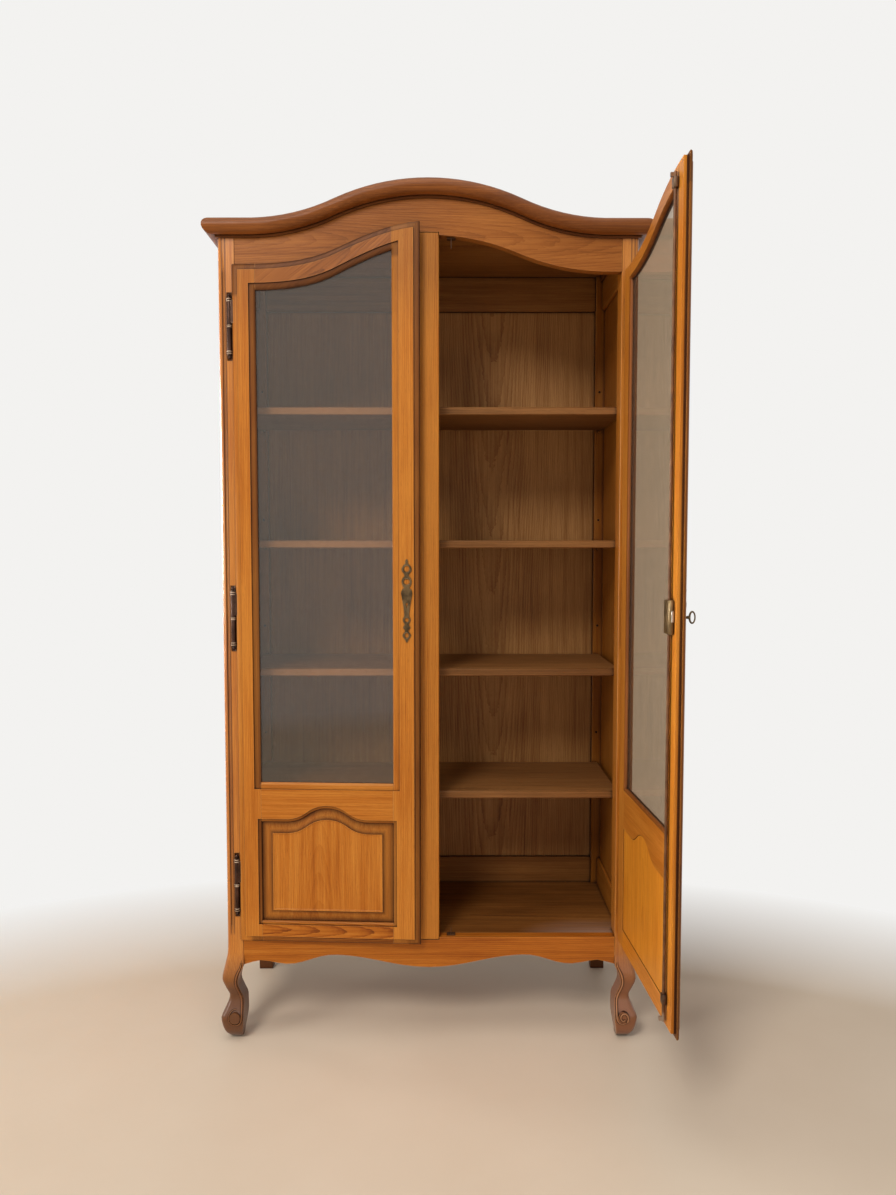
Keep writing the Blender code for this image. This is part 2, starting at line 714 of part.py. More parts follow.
top = field(PANEL_MOULD + MOULD_STEP)
field_layers = [(FACE - 0.002, top), (FACE + MOULD_STEP, top)]
field_layers += thumb(PANEL_MOULD, PANEL_MOULD_DEEP, FACE + MOULD_STEP, field)
field_layers += [(PANEL_TONGUE[0] - GAP, field(0.0)), (PANEL_TONGUE[0] - GAP, field(PANEL_GROOVE)),
                 (PANEL_TONGUE[1] + GAP, field(PANEL_GROOVE)), (PANEL_TONGUE[1] + GAP, field(0.0)),
                 (BODY_THICK + 0.002, field(0.0))]

# The panel: a flat field inside a small bead, then a step and a hollow that falls to the groove
PANEL_EDGE = PANEL_GROOVE - 0.002
bead = FIELD_Y - FIELD_BEAD
panel_layers = [(FIELD_Y, field(-FIELD_INSET - 0.0012)), (bead + 0.0002, field(-FIELD_INSET + 0.0004)),
                (bead, field(-FIELD_INSET + 0.0024)), (bead + 0.0022, field(-FIELD_INSET + 0.0028)),
                (bead + 0.0029, field(-FIELD_INSET + 0.0065)), (bead + 0.0044, field(-FIELD_INSET + 0.0120)),
                (PANEL_TONGUE[0] - 0.0012, field(-0.011)),
                (PANEL_TONGUE[0], field(-0.005)), (PANEL_TONGUE[0], field(PANEL_EDGE)),
                (PANEL_TONGUE[1], field(PANEL_EDGE)), (PANEL_TONGUE[1], field(-PANEL_QUIRK)),
                (PANEL_BACK, field(-PANEL_QUIRK))]


def hinge_profile(moving):
    """(radius, height) down a knuckle: the fixed half carries the pin, the moving half its bore."""
    finial = [(0.0052, 0.0660), (0.0024, 0.0672), (0.0042, 0.0695), (0.0042, 0.0730), (0.0024, 0.0754)]
    if moving:
        down = [(0.0, HINGE_HALF)] + finial[::-1]
        return down + [(KNUCKLE_R, 0.0645), (KNUCKLE_R, 0.0012), (PIN_HINGE_R + GAP, 0.0012),
                       (PIN_HINGE_R + GAP, 0.0300), (0.0, 0.0310)]
    down = [(0.0, 0.0285), (PIN_HINGE_R, 0.0275), (PIN_HINGE_R, 0.0008), (KNUCKLE_R + 0.0007, 0.0008),
            (KNUCKLE_R + 0.0007, -0.0014), (KNUCKLE_R, -0.0016), (KNUCKLE_R, -0.0645)]
    return down + [(r, -z) for r, z in finial] + [(0.0, -HINGE_HALF)]


def hinge_half(name, side, z, moving, body):
    sign = -1.0 if side == "left" else 1.0
    axis = Vector((sign * HINGE_X, FRONT - HINGE_FWD, z))
    mesh = bpy.data.meshes.new(name)
    profile = hinge_profile(moving)
    mesh.from_pydata([(r, 0.0, h) for r, h in profile], [(k, k + 1) for k in range(len(profile) - 1)], [])
    made = put(name, mesh, BRONZE, body)
    mesh.transform(Matrix.Translation(body.pivot))
    made.location = axis - body.pivot
    turn = made.modifiers.new("turned", "SCREW")
    turn.steps = TURN_STEPS
    turn.render_steps = TURN_STEPS
    turn.use_merge_vertices = True
    turn.merge_threshold = 0.00001
    turn.use_smooth_shade = True
    blade = bmesh.new()
    if moving:
        x0, x1 = sorted((axis.x - sign * 0.0036, axis.x - sign * 0.0220))
        y = axis.y - 0.002
        add_box(blade, (x0, y - BLADE / 2, z + 0.008), (x1, y + BLADE / 2, z + 0.060))
    else:
        add_box(blade, (axis.x - BLADE / 2, axis.y + 0.0036, z - 0.060),
                (axis.x + BLADE / 2, axis.y + 0.0220, z - 0.008))
    boolean(made, put(name + "_blade", to_mesh(blade, "blade"), None, body, True), "UNION")


def escutcheon_loops(x):
    """The pierced plate: one outer line and its openings, about a keyhole in the middle shield."""
    half = ((0.0975, 0.0012), (0.0920, 0.0030), (0.0885, 0.0022), (0.0840, 0.0070), (0.0770, 0.0112),
            (0.0700, 0.0108), (0.0640, 0.0060), (0.0585, 0.0050), (0.0540, 0.0090), (0.0450, 0.0118),
            (0.0360, 0.0092), (0.0305, 0.0060), (0.0270, 0.0102), (0.0190, 0.0130), (0.0080, 0.0112),
            (-0.0120, 0.0078), (-0.0300, 0.0056), (-0.0370, 0.0062), (-0.0450, 0.0092), (-0.0530, 0.0056),
            (-0.0570, 0.0048), (-0.0630, 0.0084), (-0.0690, 0.0042), (-0.0730, 0.0044), (-0.0800, 0.0094),
            (-0.0850, 0.0084), (-0.0910, 0.0040), (-0.0975, 0.0010))
    outer = [(x + w, ESCUTCHEON_Z + h) for h, w in half]
    outer += [(x - w, ESCUTCHEON_Z + h) for h, w in reversed(half)]

    def oval(h, wide, tall, sides=12):
        return [(x + wide * math.cos(a), ESCUTCHEON_Z + h + tall * math.sin(a))
                for a in steps(0, 2 * math.pi, sides)[:-1]]

    loops = [outer, oval(0.0755, 0.0068, 0.0075), oval(0.0450, 0.0075, 0.0068)]
    loops += [oval(-0.0450, 0.0050, 0.0052), oval(-0.0815, 0.0050, 0.0062)]
    hole = KEY_Z - ESCUTCHEON_Z
    keyhole = [(x + KEYHOLE_R * math.cos(a), ESCUTCHEON_Z + hole + KEYHOLE_R * math.sin(a))
               for a in steps(math.radians(-65), math.radians(245), 10)]
    keyhole += [(x - 0.0013, ESCUTCHEON_Z + hole - 0.0100), (x + 0.0013, ESCUTCHEON_Z + hole - 0.0100)]
    loops.append(keyhole)
    return loops


def box_tool(name, low, high, body):
    bm = bmesh.new()
    add_box(bm, low, high)
    return put(name, to_mesh(bm, name), None, body, True)


def door(side, body):
    """One door leaf: the moulded blank is opened for glass and panel, then sawn into stiles and rails."""
    sign = -1.0 if side == "left" else 1.0
    cut = for_side(loft_through("pane", pane_layers(side)), side)
    glass_tool = put(f"{side}_glass_opening", cut, None, body, True)
    cut = for_side(loft_through("field", field_layers), side)
    panel_tool = put(f"{side}_panel_opening", cut, None, body, True)
    seats = bmesh.new()
    axis_y = FRONT - HINGE_FWD - 0.002
    for z in HINGE_Z:
        x0, x1 = sorted((sign * (HINGE_X - 0.0030), sign * (HINGE_X - 0.0225)))
        add_box(seats, (x0, axis_y - BLADE / 2 - GAP, z + 0.008 - GAP),
                (x1, axis_y + BLADE / 2 + GAP, z + 0.060 + GAP))
    seat_tool = put(f"{side}_blade_seats", to_mesh(seats, "seats"), None, body, True)

    near, far = FRONT - 0.030, FRONT + 0.030
    saw = GAP / 3
    pieces = {
        "hinge_stile": (SIGHT_OUT + GAP, 0.52, 0.0, 2.1),
        "meeting_stile": (0.0, SIGHT_IN - GAP, 0.0, 2.1),
        "top_rail": (SIGHT_IN + saw, SIGHT_OUT - saw, 1.5, 2.1),
        "mid_rail": (SIGHT_IN + saw, SIGHT_OUT - saw, 0.45, 0.8),
        "bottom_rail": (SIGHT_IN + saw, SIGHT_OUT - saw, 0.0, 0.40),
    }
    for part, (x0, x1, z0, z1) in pieces.items():
        blank = for_side(loft_through(f"{side}_{part}", door_layers(side)), side)
        made = put(f"{side}_door_{part}", blank, WOOD, body)
        low, high = sorted((sign * x0, sign * x1))
        if part != "bottom_rail":
            boolean(made, glass_tool)
        if part != "top_rail":
            boolean(made, panel_tool)
        boolean(made, box_tool(f"{side}_{part}_saw", (low, near, z0), (high, far, z1), body), "INTERSECT")
        if part == "hinge_stile":
            boolean(made, seat_tool)
        if part == "meeting_stile" and side == "right":
            drill = bmesh.new()
            add_round(drill, (ESCUTCHEON_X, near, KEY_Z), (ESCUTCHEON_X, far, KEY_Z), KEYHOLE_R, 12)
            boolean(made, put("right_keyhole", to_mesh(drill, "keyhole"), None, body, True))

    put(f"{side}_door_panel", for_side(loft_through(f"{side}_panel", panel_layers), side), WOOD, body)
    put(f"{side}_door_glass", for_side(loft_through(f"{side}_glass", glass_layers(side)), side), GLASS, body)
    plate_y = FRONT + FACE - GAP
    loops = escutcheon_loops(sign * ESCUTCHEON_X)
    plate = flat_shape("escutcheon", loops, plate_y - ESCUTCHEON_THICK, plate_y)
    put(f"{side}_door_escutcheon", plate, BRONZE, body)
    for place, z in zip(("upper", "middle", "lower"), HINGE_Z):
        hinge_half(f"{side}_hinge_{place}_fixed", side, z, False, CARCASE)
        hinge_half(f"{side}_hinge_{place}_moving", side, z, True, body)


door("left", LEFT)
door("right", RIGHT)


# Lock of the right door: case, rod with hooks, guides, key and catches

case = board("right_door_lock_case", (CASE_X[0], INSIDE + GAP, CASE_Z[0]),
             (CASE_X[1], INSIDE + GAP + CASE_DEEP, CASE_Z[1]), BRONZE, RIGHT, 0.002)
bores = bmesh.new()
add_round(bores, (ROD_X, ROD_Y, CASE_Z[0] - 0.01), (ROD_X, ROD_Y, CASE_Z[1] + 0.01), ROD_BORE_R, 12)
add_round(bores, (ESCUTCHEON_X, INSIDE - 0.005, KEY_Z), (ESCUTCHEON_X, INSIDE + 0.0080, KEY_Z),
          KEYHOLE_R, 12)
boolean(case, put("case_bores", to_mesh(bores, "bores"), None, RIGHT, True))

for place, (z0, z1) in (("upper", GUIDE_HIGH), ("lower", GUIDE_LOW)):
    guide = board(f"rod_guide_{place}", (ROD_X - GUIDE_HALF, INSIDE + GAP, z0),
                  (ROD_X + GUIDE_HALF, INSIDE + CASE_DEEP, z1), IRON, RIGHT, 0.001)
    bore = bmesh.new()
    add_round(bore, (ROD_X, ROD_Y, z0 - 0.01), (ROD_X, ROD_Y, z1 + 0.01), ROD_BORE_R, 12)
    boolean(guide, put(f"guide_{place}_bore", to_mesh(bore, "bore"), None, RIGHT, True))

shaft = bmesh.new()
add_round(shaft, (ROD_X, ROD_Y, ROD_Z[0]), (ROD_X, ROD_Y, ROD_Z[1]), ROD_R, 10)
rod = put("lock_rod", to_mesh(shaft, "lock_rod", True), IRON, ROD)
hooks = bmesh.new()
for z0, z1 in (HOOK_LOW, HOOK_HIGH):
    add_box(hooks, (ROD_X - HOOK_WIDE / 2, ROD_Y, z0), (ROD_X + HOOK_WIDE / 2, ROD_Y + HOOK_LONG, z1))
boolean(rod, put("rod_hooks", to_mesh(hooks, "hooks"), None, ROD, True), "UNION")

bow_y = FRONT + FACE - ESCUTCHEON_THICK - 0.0035 - BOW_W
ring = bpy.data.curves.new("bow", "CURVE")
ring.dimensions = "3D"
ring.bevel_depth = BOW_WIRE
ring.bevel_resolution = 1
spline = ring.splines.new("POLY")
spline.points.add(17)
for k, point in enumerate(spline.points):
    a = 2 * math.pi * k / 18
    point.co = (ESCUTCHEON_X, bow_y + (BOW_W - BOW_WIRE) * math.cos(a),
                KEY_Z + (BOW_H - BOW_WIRE) * math.sin(a), 1.0)
spline.use_cyclic_u = True
loop = bpy.data.objects.new("bow_line", ring)
bpy.context.scene.collection.objects.link(loop)
key = put("key", curve_mesh(loop, "key", True), BRONZE, KEY)
stem = bmesh.new()
add_round(stem, (ESCUTCHEON_X, bow_y + BOW_W - 2 * BOW_WIRE, KEY_Z),
          (ESCUTCHEON_X, INSIDE + 0.0070, KEY_Z), KEY_R, 10)
boolean(key, put("key_stem", to_mesh(stem, "stem"), None, KEY, True), "UNION")

pin_y = ROD_Y - HOOK_WIDE / 2 - CATCH_PIN_R - GAP
plate_back = FRONT + FRIEZE_THICK - 0.0005
lintel = head(CATCH_X + 0.010) - GAP
sill = APRON_TOP + GAP
for place, low, high, start, end in (
        ("lower", sill, sill + 0.002, sill + 0.001, HOOK_LOW[0] + 0.006),
        ("upper", lintel - 0.002, lintel, lintel - 0.001, HOOK_HIGH[0] + 0.002)):
    catch = board(f"rod_catch_{place}", (CATCH_X - 0.010, INSIDE + GAP, low),
                  (CATCH_X + 0.010, plate_back, high), IRON, CARCASE, 0.0)
    peg = bmesh.new()
    add_round(peg, (CATCH_X, pin_y, start), (CATCH_X, pin_y, end), CATCH_PIN_R, 8)
    boolean(catch, put(f"catch_{place}_pin", to_mesh(peg, "peg"), None, CARCASE, True), "UNION")
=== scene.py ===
"""Looks of the two-door display cabinet: stained wood, glass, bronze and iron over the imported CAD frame."""
import json
import math
import random

import bmesh
import bpy
from mathutils import Matrix, Vector


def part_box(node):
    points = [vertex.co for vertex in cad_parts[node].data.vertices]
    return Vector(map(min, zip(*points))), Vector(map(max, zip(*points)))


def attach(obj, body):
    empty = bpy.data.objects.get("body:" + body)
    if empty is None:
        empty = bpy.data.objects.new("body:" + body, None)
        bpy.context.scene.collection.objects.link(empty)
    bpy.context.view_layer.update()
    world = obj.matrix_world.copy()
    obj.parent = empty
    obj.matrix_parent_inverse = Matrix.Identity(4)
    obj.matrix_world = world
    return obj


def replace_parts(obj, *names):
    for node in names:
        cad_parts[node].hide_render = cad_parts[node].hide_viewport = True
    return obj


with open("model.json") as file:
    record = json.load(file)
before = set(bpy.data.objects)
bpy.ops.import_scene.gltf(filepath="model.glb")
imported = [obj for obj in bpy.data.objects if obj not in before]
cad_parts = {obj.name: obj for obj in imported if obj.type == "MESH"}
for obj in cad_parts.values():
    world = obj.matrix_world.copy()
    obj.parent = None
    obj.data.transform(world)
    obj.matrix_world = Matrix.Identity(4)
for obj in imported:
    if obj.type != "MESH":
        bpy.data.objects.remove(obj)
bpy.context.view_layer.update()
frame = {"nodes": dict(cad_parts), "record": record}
nodes = frame["nodes"]
bodies = frame["record"]["behaviour"]["bodies"]
node_body = {n: body for body, names in bodies.items() for n in names}
slot_of = {s["node"]: s["material_slot"] for s in frame["record"]["subparts"]}

# Camera at the photograph's place, with its focal length in pixels of the photograph and its turns in degrees
SENSOR = 36.0
PHOTO_HEIGHT = 1195
FOCAL_LENGTH = 899.09
CAMERA_PLACE = (0.0396, -2.3453, 1.2168)
CAMERA_DIP = 3.4
CAMERA_YAW = -0.166

eye = bpy.data.cameras.new("camera")
camera = bpy.data.objects.new("camera", eye)
bpy.context.scene.collection.objects.link(camera)
eye.sensor_width = SENSOR
eye.lens = SENSOR * FOCAL_LENGTH / PHOTO_HEIGHT
eye.clip_start = 0.01
camera.location = CAMERA_PLACE
camera.rotation_euler = (math.radians(90 - CAMERA_DIP), 0.0, math.radians(CAMERA_YAW))
bpy.context.scene.camera = camera
bpy.context.scene.view_settings.view_transform = "Standard"

# Sizes taken over from the CAD source, in metres
SIGN = {"left": -1, "right": 1}
OPEN = {"left": math.radians(-3.0), "right": math.radians(93.2)}
FRONT = -0.200
POST_OUT = 0.4937
POST_IN = 0.4535
HINGE_X = 0.467
HINGE_Y = -0.2025
HINGE_HEIGHTS = (("upper", 1.726), ("middle", 1.039), ("lower", 0.389))
FLUTE_X = 0.4795
FLUTE_FOOT = 0.262
LEG_OUTER = ((0.260, 0.4937), (0.222, 0.4943), (0.190, 0.5000), (0.158, 0.5060), (0.130, 0.4985),
             (0.108, 0.4915), (0.085, 0.4985), (0.060, 0.5090), (0.032, 0.5045), (0.012, 0.4965),
             (0.0, 0.4905))
LEG_INNER = ((0.260, POST_IN), (0.190, POST_IN), (0.168, 0.4640), (0.146, 0.4675), (0.120, 0.4610),
             (0.095, 0.4540), (0.060, 0.4535), (0.030, 0.4575), (0.0, 0.4620))
EYE_X = 0.4745
EYE_Z = 0.062

# Materials


def srgb(red, green, blue):
    """Linear colour from the 0 to 255 values that a picture shows."""
    made = []
    for value in (red, green, blue):
        share = value / 255
        made.append(share / 12.92 if share <= 0.04045 else ((share + 0.055) / 1.055) ** 2.4)
    return (*made, 1.0)


class Look:
    """A material that is put together node by node."""

    def __init__(self, name):
        self.material = bpy.data.materials.new(name)
        self.material.use_nodes = True
        self.tree = self.material.node_tree
        self.shader = self.tree.nodes["Principled BSDF"]

    def feed(self, socket, value):
        if isinstance(value, bpy.types.NodeSocket):
            self.tree.links.new(value, socket)
        else:
            socket.default_value = value

    def add(self, kind, out=0, **settings):
        node = self.tree.nodes.new("ShaderNode" + kind)
        for key, value in settings.items():
            if hasattr(node, key):
                setattr(node, key, value)
            else:
                self.feed(node.inputs[key.replace("_", " ")], value)
        return node.outputs[out]

    def maths(self, operation, first, second=0.5, clamp=False):
        node = self.tree.nodes.new("ShaderNodeMath")
        node.operation = operation
        node.use_clamp = clamp
        self.feed(node.inputs[0], first)
        self.feed(node.inputs[1], second)
        return node.outputs[0]

    def plus(self, first, second):
        return self.maths("ADD", first, second)

    def times(self, first, second, clamp=False):
        return self.maths("MULTIPLY", first, second, clamp)

    def vector(self, operation, first, second=(0.0, 0.0, 0.0), out=0):
        """A vector operation, whose output 1 is a number such as a length."""
        node = self.tree.nodes.new("ShaderNodeVectorMath")
        node.operation = operation
        self.feed(node.inputs[0], first)
        self.feed(node.inputs[1], second)
        return node.outputs[out]

    def mix(self, share, first, second, blend="MIX"):
        node = self.tree.nodes.new("ShaderNodeMix")
        node.data_type = "RGBA"
        node.blend_type = blend
        self.feed(node.inputs[0], share)
        self.feed(node.inputs[6], first)
        self.feed(node.inputs[7], second)
        return node.outputs[2]

    def ramp(self, share, *stops):
        """Colours along a share, from (place, colour) pairs."""
        node = self.tree.nodes.new("ShaderNodeValToRGB")
        self.feed(node.inputs[0], share)
        steps = node.color_ramp.elements
        while len(steps) < len(stops):
            steps.new(0.5)
        for step, (place, colour) in zip(steps, stops):
            step.position = place
            step.color = colour
        return node.outputs[0]

    def levels(self, share, *stops):
        """Grey levels along a share, from (place, level) pairs."""
        return self.ramp(share, *((place, (level, level, level, 1.0)) for place, level in stops))

    def spread(self, value, low, high, to_low, to_high):
        return self.add("MapRange", Value=value, From_Min=low, From_Max=high, To_Min=to_low, To_Max=to_high)

    def place(self, vector, scale=(1, 1, 1), location=(0, 0, 0), turn=(0, 0, 0)):
        return self.add("Mapping", Vector=vector, Scale=scale, Location=location, Rotation=turn)

    def noise(self, vector, scale, detail=3.0, rough=0.55, distortion=0.0):
        return self.add("TexNoise", Vector=vector, Scale=scale, Detail=detail, Roughness=rough,
                        Distortion=distortion)

    def where(self):
        """The place in the piece's own frame, which for meshes is the scene's frame at rest."""
        return self.add("TexCoord", 3)

    def axis(self, vector, k):
        return self.add("SeparateXYZ", k, Vector=vector)

    def facing(self, direction):
        """How far a face looks, at rest, in a direction."""
        return self.vector("DOT_PRODUCT", self.add("TexCoord", 1), direction, 1)

    def edge(self, radius):
        """1 on a flat face, and less within a radius of an edge."""
        rounded_normal = self.add("Bevel", samples=4, Radius=radius)
        return self.vector("DOT_PRODUCT", rounded_normal, self.add("NewGeometry", 1), 1)

    def set(self, **values):
        for key, value in values.items():
            self.feed(self.shader.inputs[key.replace("_", " ")], value)
        return self.material


# Turns that bring a piece's grain to the Z axis of its pattern
GRAIN = {
    "up": Matrix.Identity(3),
    "across": Matrix.Rotation(math.radians(-90), 3, "Y"),
    "leaning": Matrix.Rotation(math.radians(-52), 3, "Y"),
    "deep": Matrix.Rotation(math.radians(90), 3, "X"),
}
SHADES = ("light", "mid", "deep", "dark", "patina", "worn", "aged")


def palette(*colours):
    """A stain's shades from light to dark, then its patina and painted shade, its worn edges, and its aged
    foot with painted shade.
    """
    return {shade: srgb(*colour) for shade, colour in zip(SHADES, colours)}


HONEY = palette((210, 136, 52), (188, 110, 32), (152, 80, 20), (106, 52, 13),
                (58, 27, 9), (220, 160, 94), (86, 50, 28))
SHADED = palette((158, 94, 42), (128, 72, 29), (102, 54, 20), (74, 37, 13),
                 (44, 21, 8), (188, 126, 72), (86, 50, 28))
# Colours of the dark strips that paint the shade of grooves beside the feet's carved bead
GROOVE_SHADE_COLOURS = palette((78, 43, 22), (62, 33, 16), (48, 25, 11), (34, 17, 8),
                  (30, 15, 7), (78, 43, 22), (56, 30, 15))
UMBER = palette((180, 113, 50), (157, 93, 37), (127, 72, 25), (88, 47, 15),
                (52, 25, 9), (204, 146, 86), (86, 50, 28))
INNER = palette((160, 108, 54), (134, 84, 36), (100, 58, 21), (70, 38, 12),
                (40, 21, 8), (172, 132, 88), (70, 40, 22))
DUSTY = palette((188, 138, 82), (160, 110, 60), (118, 75, 37), (78, 46, 20),
                (40, 21, 8), (180, 144, 104), (70, 40, 22))
SHELF = palette((146, 99, 54), (120, 78, 39), (91, 55, 24), (66, 38, 14),
                (40, 21, 8), (164, 128, 94), (70, 40, 22))
# Painted light on the shelves' front edges
PAINTED_LIGHT_EDGE = srgb(184, 136, 96)
PALE_SPOT = srgb(190, 160, 142)
# Painted shade at the top of the door stiles and mullion
CROWN_SHADE_TINT = (0.74, 0.74, 0.86, 1.0)


class Wood(Look):
    """Stained wood: growth rings about a pith behind the face, streaks, fibres, worn edges, and patina and
    painted shade in corners.

    A figured board is cut near the pith and at a slant, a plain one far from it and along the grain.
    Pith is a set place and slant of the rings. The marks of a board's place are put on in the order of the
    methods below.
    """

    def __init__(self, name, centre, grain, colours, spin=0.0, figure=0.0, tone=0.0, gloss=0.36, pith=None):
        super().__init__(name)
        self.centre = Vector(centre)
        self.colours = colours
        self.figure = figure
        self.gloss = gloss
        self.chance = random.Random(name)
        turn = GRAIN[grain] @ Matrix.Rotation(-spin, 3, "Z")
        self.here = self.place(self.where(), turn=turn.to_euler(), location=-(turn @ self.centre))
        self.across, self.inward, self.along = (self.axis(self.here, k) for k in range(3))
        self.seed = [self.chance.uniform(-9, 9) for _ in range(3)]
        self.rings = self.ring_lines(pith)
        self.streaks = self.drawn_out(0.03, 52.0, 5.0, 0.62, 0.3)
        self.fibres = self.drawn_out(0.022, 760.0, 3.0, 0.6)
        self.pores = self.drawn_out(0.05, 1300.0, 1.0, 0.5)
        self.patches = self.drawn_out(0.4, 6.5, 3.0, 0.55)
        self.colour = self.stained(tone)
        # Patina and painted shade in corners and hollows; the wider reach is mostly painted shade
        self.corner = self.add("AmbientOcclusion", 1, samples=6, Distance=0.011)
        wide_corner = self.add("AmbientOcclusion", 1, samples=4, Distance=0.06)
        self.grime_and_shade = self.plus(self.spread(self.corner, 0.35, 0.86, 0.86, 0.0),
                               self.spread(wide_corner, 0.2, 0.75, 0.22, 0.0))
        self.groove = None

    def drawn_out(self, run, scale, *more):
        """Noise drawn out along the grain."""
        return self.noise(self.place(self.here, (1, 1, run), self.seed), scale, *more)

    def ring_lines(self, pith):
        """The late wood of the growth rings, which wander a little along the grain."""
        chance = self.chance
        drift = self.add("TexNoise", 1, Vector=self.place(self.here, (1, 1, 0.22), self.seed), Scale=5.0,
                         Detail=2.0)
        bent = self.vector("MULTIPLY_ADD", drift, (0.016, 0.016, 0.0))
        self.feed(bent.node.inputs[2], self.here)
        if self.figure:
            offset = (chance.uniform(-0.03, 0.03), chance.uniform(0.04, 0.07), 0.0)
            slant = chance.choice((-1, 1)) * chance.uniform(1.6, 3.0)
        else:
            offset = (chance.choice((-1, 1)) * chance.uniform(0.12, 0.20), chance.uniform(0.08, 0.14), 0.0)
            slant = chance.uniform(-0.4, 0.4)
        if pith:
            offset, slant = pith
        lean = (math.radians(slant), math.radians(chance.uniform(-0.3, 0.3)), 0.0)
        rings = self.add("TexWave", 1, Vector=self.place(bent, turn=lean, location=offset),
                         wave_type="RINGS", rings_direction="Z", wave_profile="SAW", Scale=88.0,
                         Distortion=1.6, Detail=2.0, Detail_Scale=1.2, Detail_Roughness=0.5)
        return self.maths("POWER", rings, 2.4)

    def stained(self, tone):
        """The stain's colour, deeper in the rings, streaks, hairs and patches, with dark fibres and pores."""
        hairs = self.drawn_out(0.012, 260.0, 3.0, 0.6)
        ring_weight = 0.06 + 0.44 * self.figure if self.figure else 0.24
        depth = self.plus(self.times(self.streaks, 0.8), tone - 0.16)
        for pattern, middle, weight in ((self.rings, 0.3, ring_weight), (hairs, 0.5, 0.7),
                                        (self.patches, 0.5, 0.7)):
            depth = self.plus(depth, self.times(self.maths("SUBTRACT", pattern, middle), weight))
        colour = self.ramp(depth, (0.06, self.colours["light"]), (0.38, self.colours["mid"]),
                           (0.7, self.colours["deep"]), (1.0, self.colours["dark"]))
        colour = self.mix(self.spread(self.fibres, 0.35, 0.75, 0.0, 0.34), colour, self.colours["deep"],
                          "MULTIPLY")
        return self.mix(self.spread(self.pores, 0.62, 0.78, 0.0, 0.4), colour, self.colours["dark"])

    def tint_faces(self, direction, tint):
        """A tint on faces that look, at rest, in a direction: painted light where it lightens, painted shade
        where it darkens.
        """
        share = self.spread(self.facing(direction), 0.3, 0.6, 0.0, 1.0)
        self.colour = self.mix(share, self.colour, (*tint, 1.0), "MULTIPLY")

    def light_front_edges(self, reach):
        """Painted light on front edges, up to an X."""
        front = self.spread(self.facing((0.0, -1.0, 0.0)), 0.5, 0.9, 0.0, 0.85)
        share = self.times(front, self.spread(self.axis(self.where(), 0), reach - 0.03, reach, 1.0, 0.0))
        self.colour = self.mix(share, self.colour, PAINTED_LIGHT_EDGE)

    def pale_spot(self, x, y, reach):
        """A paler spot on top of a board, twice as wide as deep."""
        away = self.vector("DISTANCE", self.place(self.where(), (0.5, 1.0, 0.0)), (0.5 * x, y, 0.0), 1)
        share = self.times(self.spread(away, 0.0, reach, 0.6, 0.0),
                           self.spread(self.streaks, 0.35, 0.6, 0.3, 1.0))
        self.colour = self.mix(share, self.colour, PALE_SPOT)

    def shade_crown(self, height):
        """Painted shade above a height."""
        low = height - self.centre.z
        share = self.spread(self.along, low, low + 0.16, 0.0, 1.0)
        self.colour = self.mix(share, self.colour, CROWN_SHADE_TINT, "MULTIPLY")

    def age_and_shade_foot(self, height):
        """Aged wood and painted shade about and below a height, where the darkening in corners is stronger
        too.
        """
        top = height - self.centre.z
        uneven = self.plus(self.along, self.times(self.patches, -0.05))
        share = self.spread(uneven, top + 0.09, top - 0.005, 0.0, 0.9)
        self.colour = self.mix(share, self.colour, self.colours["aged"])
        self.grime_and_shade = self.times(self.grime_and_shade, self.spread(self.along, top + 0.1, top, 1.0, 1.35))

    def shade_panel(self, face, back):
        """Painted shade behind a fielded panel's face: dark at the step, lighter on the slope, dark in the
        groove.
        """
        depth = self.spread(self.inward, face, face + 0.006, 0.0, 1.0)
        sunk = self.levels(depth, (0.0, 0.0), (0.05, 0.0), (0.10, 0.82), (0.30, 0.52), (0.53, 0.28),
                           (0.8, 0.42), (1.0, 0.66))
        self.sink(sunk, back)

    def shade_moulds(self, face, back, sides, ends):
        """Painted shade in the moulds of a door's frame, by the side they lie on, and past the ends of a
        stile.
        """
        sunk = self.plus(self.spread(self.inward, face + 0.001, face + 0.0024, 0.0, 0.6),
                         self.spread(self.inward, face + 0.0034, face + 0.0068, 0.0, 0.4))
        share = self.spread(self.across, -0.004, 0.004, *sides)
        if ends:
            low, high = (end - self.centre.z for end in ends)
            share = self.maths("MAXIMUM", share, self.spread(self.along, low, low + 0.01, 0.75, 0.0))
            share = self.maths("MAXIMUM", share, self.spread(self.along, high - 0.01, high, 0.0, 0.85))
        self.sink(self.times(sunk, share), back)

    def sink(self, sunk, back):
        """Painted shade on what is sunk behind a face, as far as a back."""
        kept = self.spread(self.inward, back - 0.0003, back + 0.0002, 1.0, 0.0)
        self.grime_and_shade = self.plus(self.grime_and_shade, self.times(sunk, kept))

    def darken_flute(self):
        """Darker colour on the slopes of a post's flute, and polish on the post."""
        off_middle = self.maths("SUBTRACT", self.maths("ABSOLUTE", self.axis(self.where(), 0)), FLUTE_X)
        aside = self.spread(self.maths("ABSOLUTE", off_middle), 0.0, 0.006, 0.0, 1.0)
        slopes = self.levels(aside, (0.0, 0.1), (0.36, 0.16), (0.56, 0.75), (0.82, 0.85), (0.94, 0.0))
        face = FRONT - self.centre.y
        foot = FLUTE_FOOT - self.centre.z
        groove = self.times(slopes, self.spread(self.inward, face + 0.0004, face + 0.0016, 0.9, 1.0))
        groove = self.times(groove, self.spread(self.inward, face + 0.006, face + 0.007, 1.0, 0.0))
        self.groove = self.times(groove, self.spread(self.along, foot, foot + 0.008, 0.0, 1.0))
        self.grime_and_shade = self.plus(self.grime_and_shade, self.groove)
        self.set(Coat_Weight=0.6, Coat_Roughness=0.24)

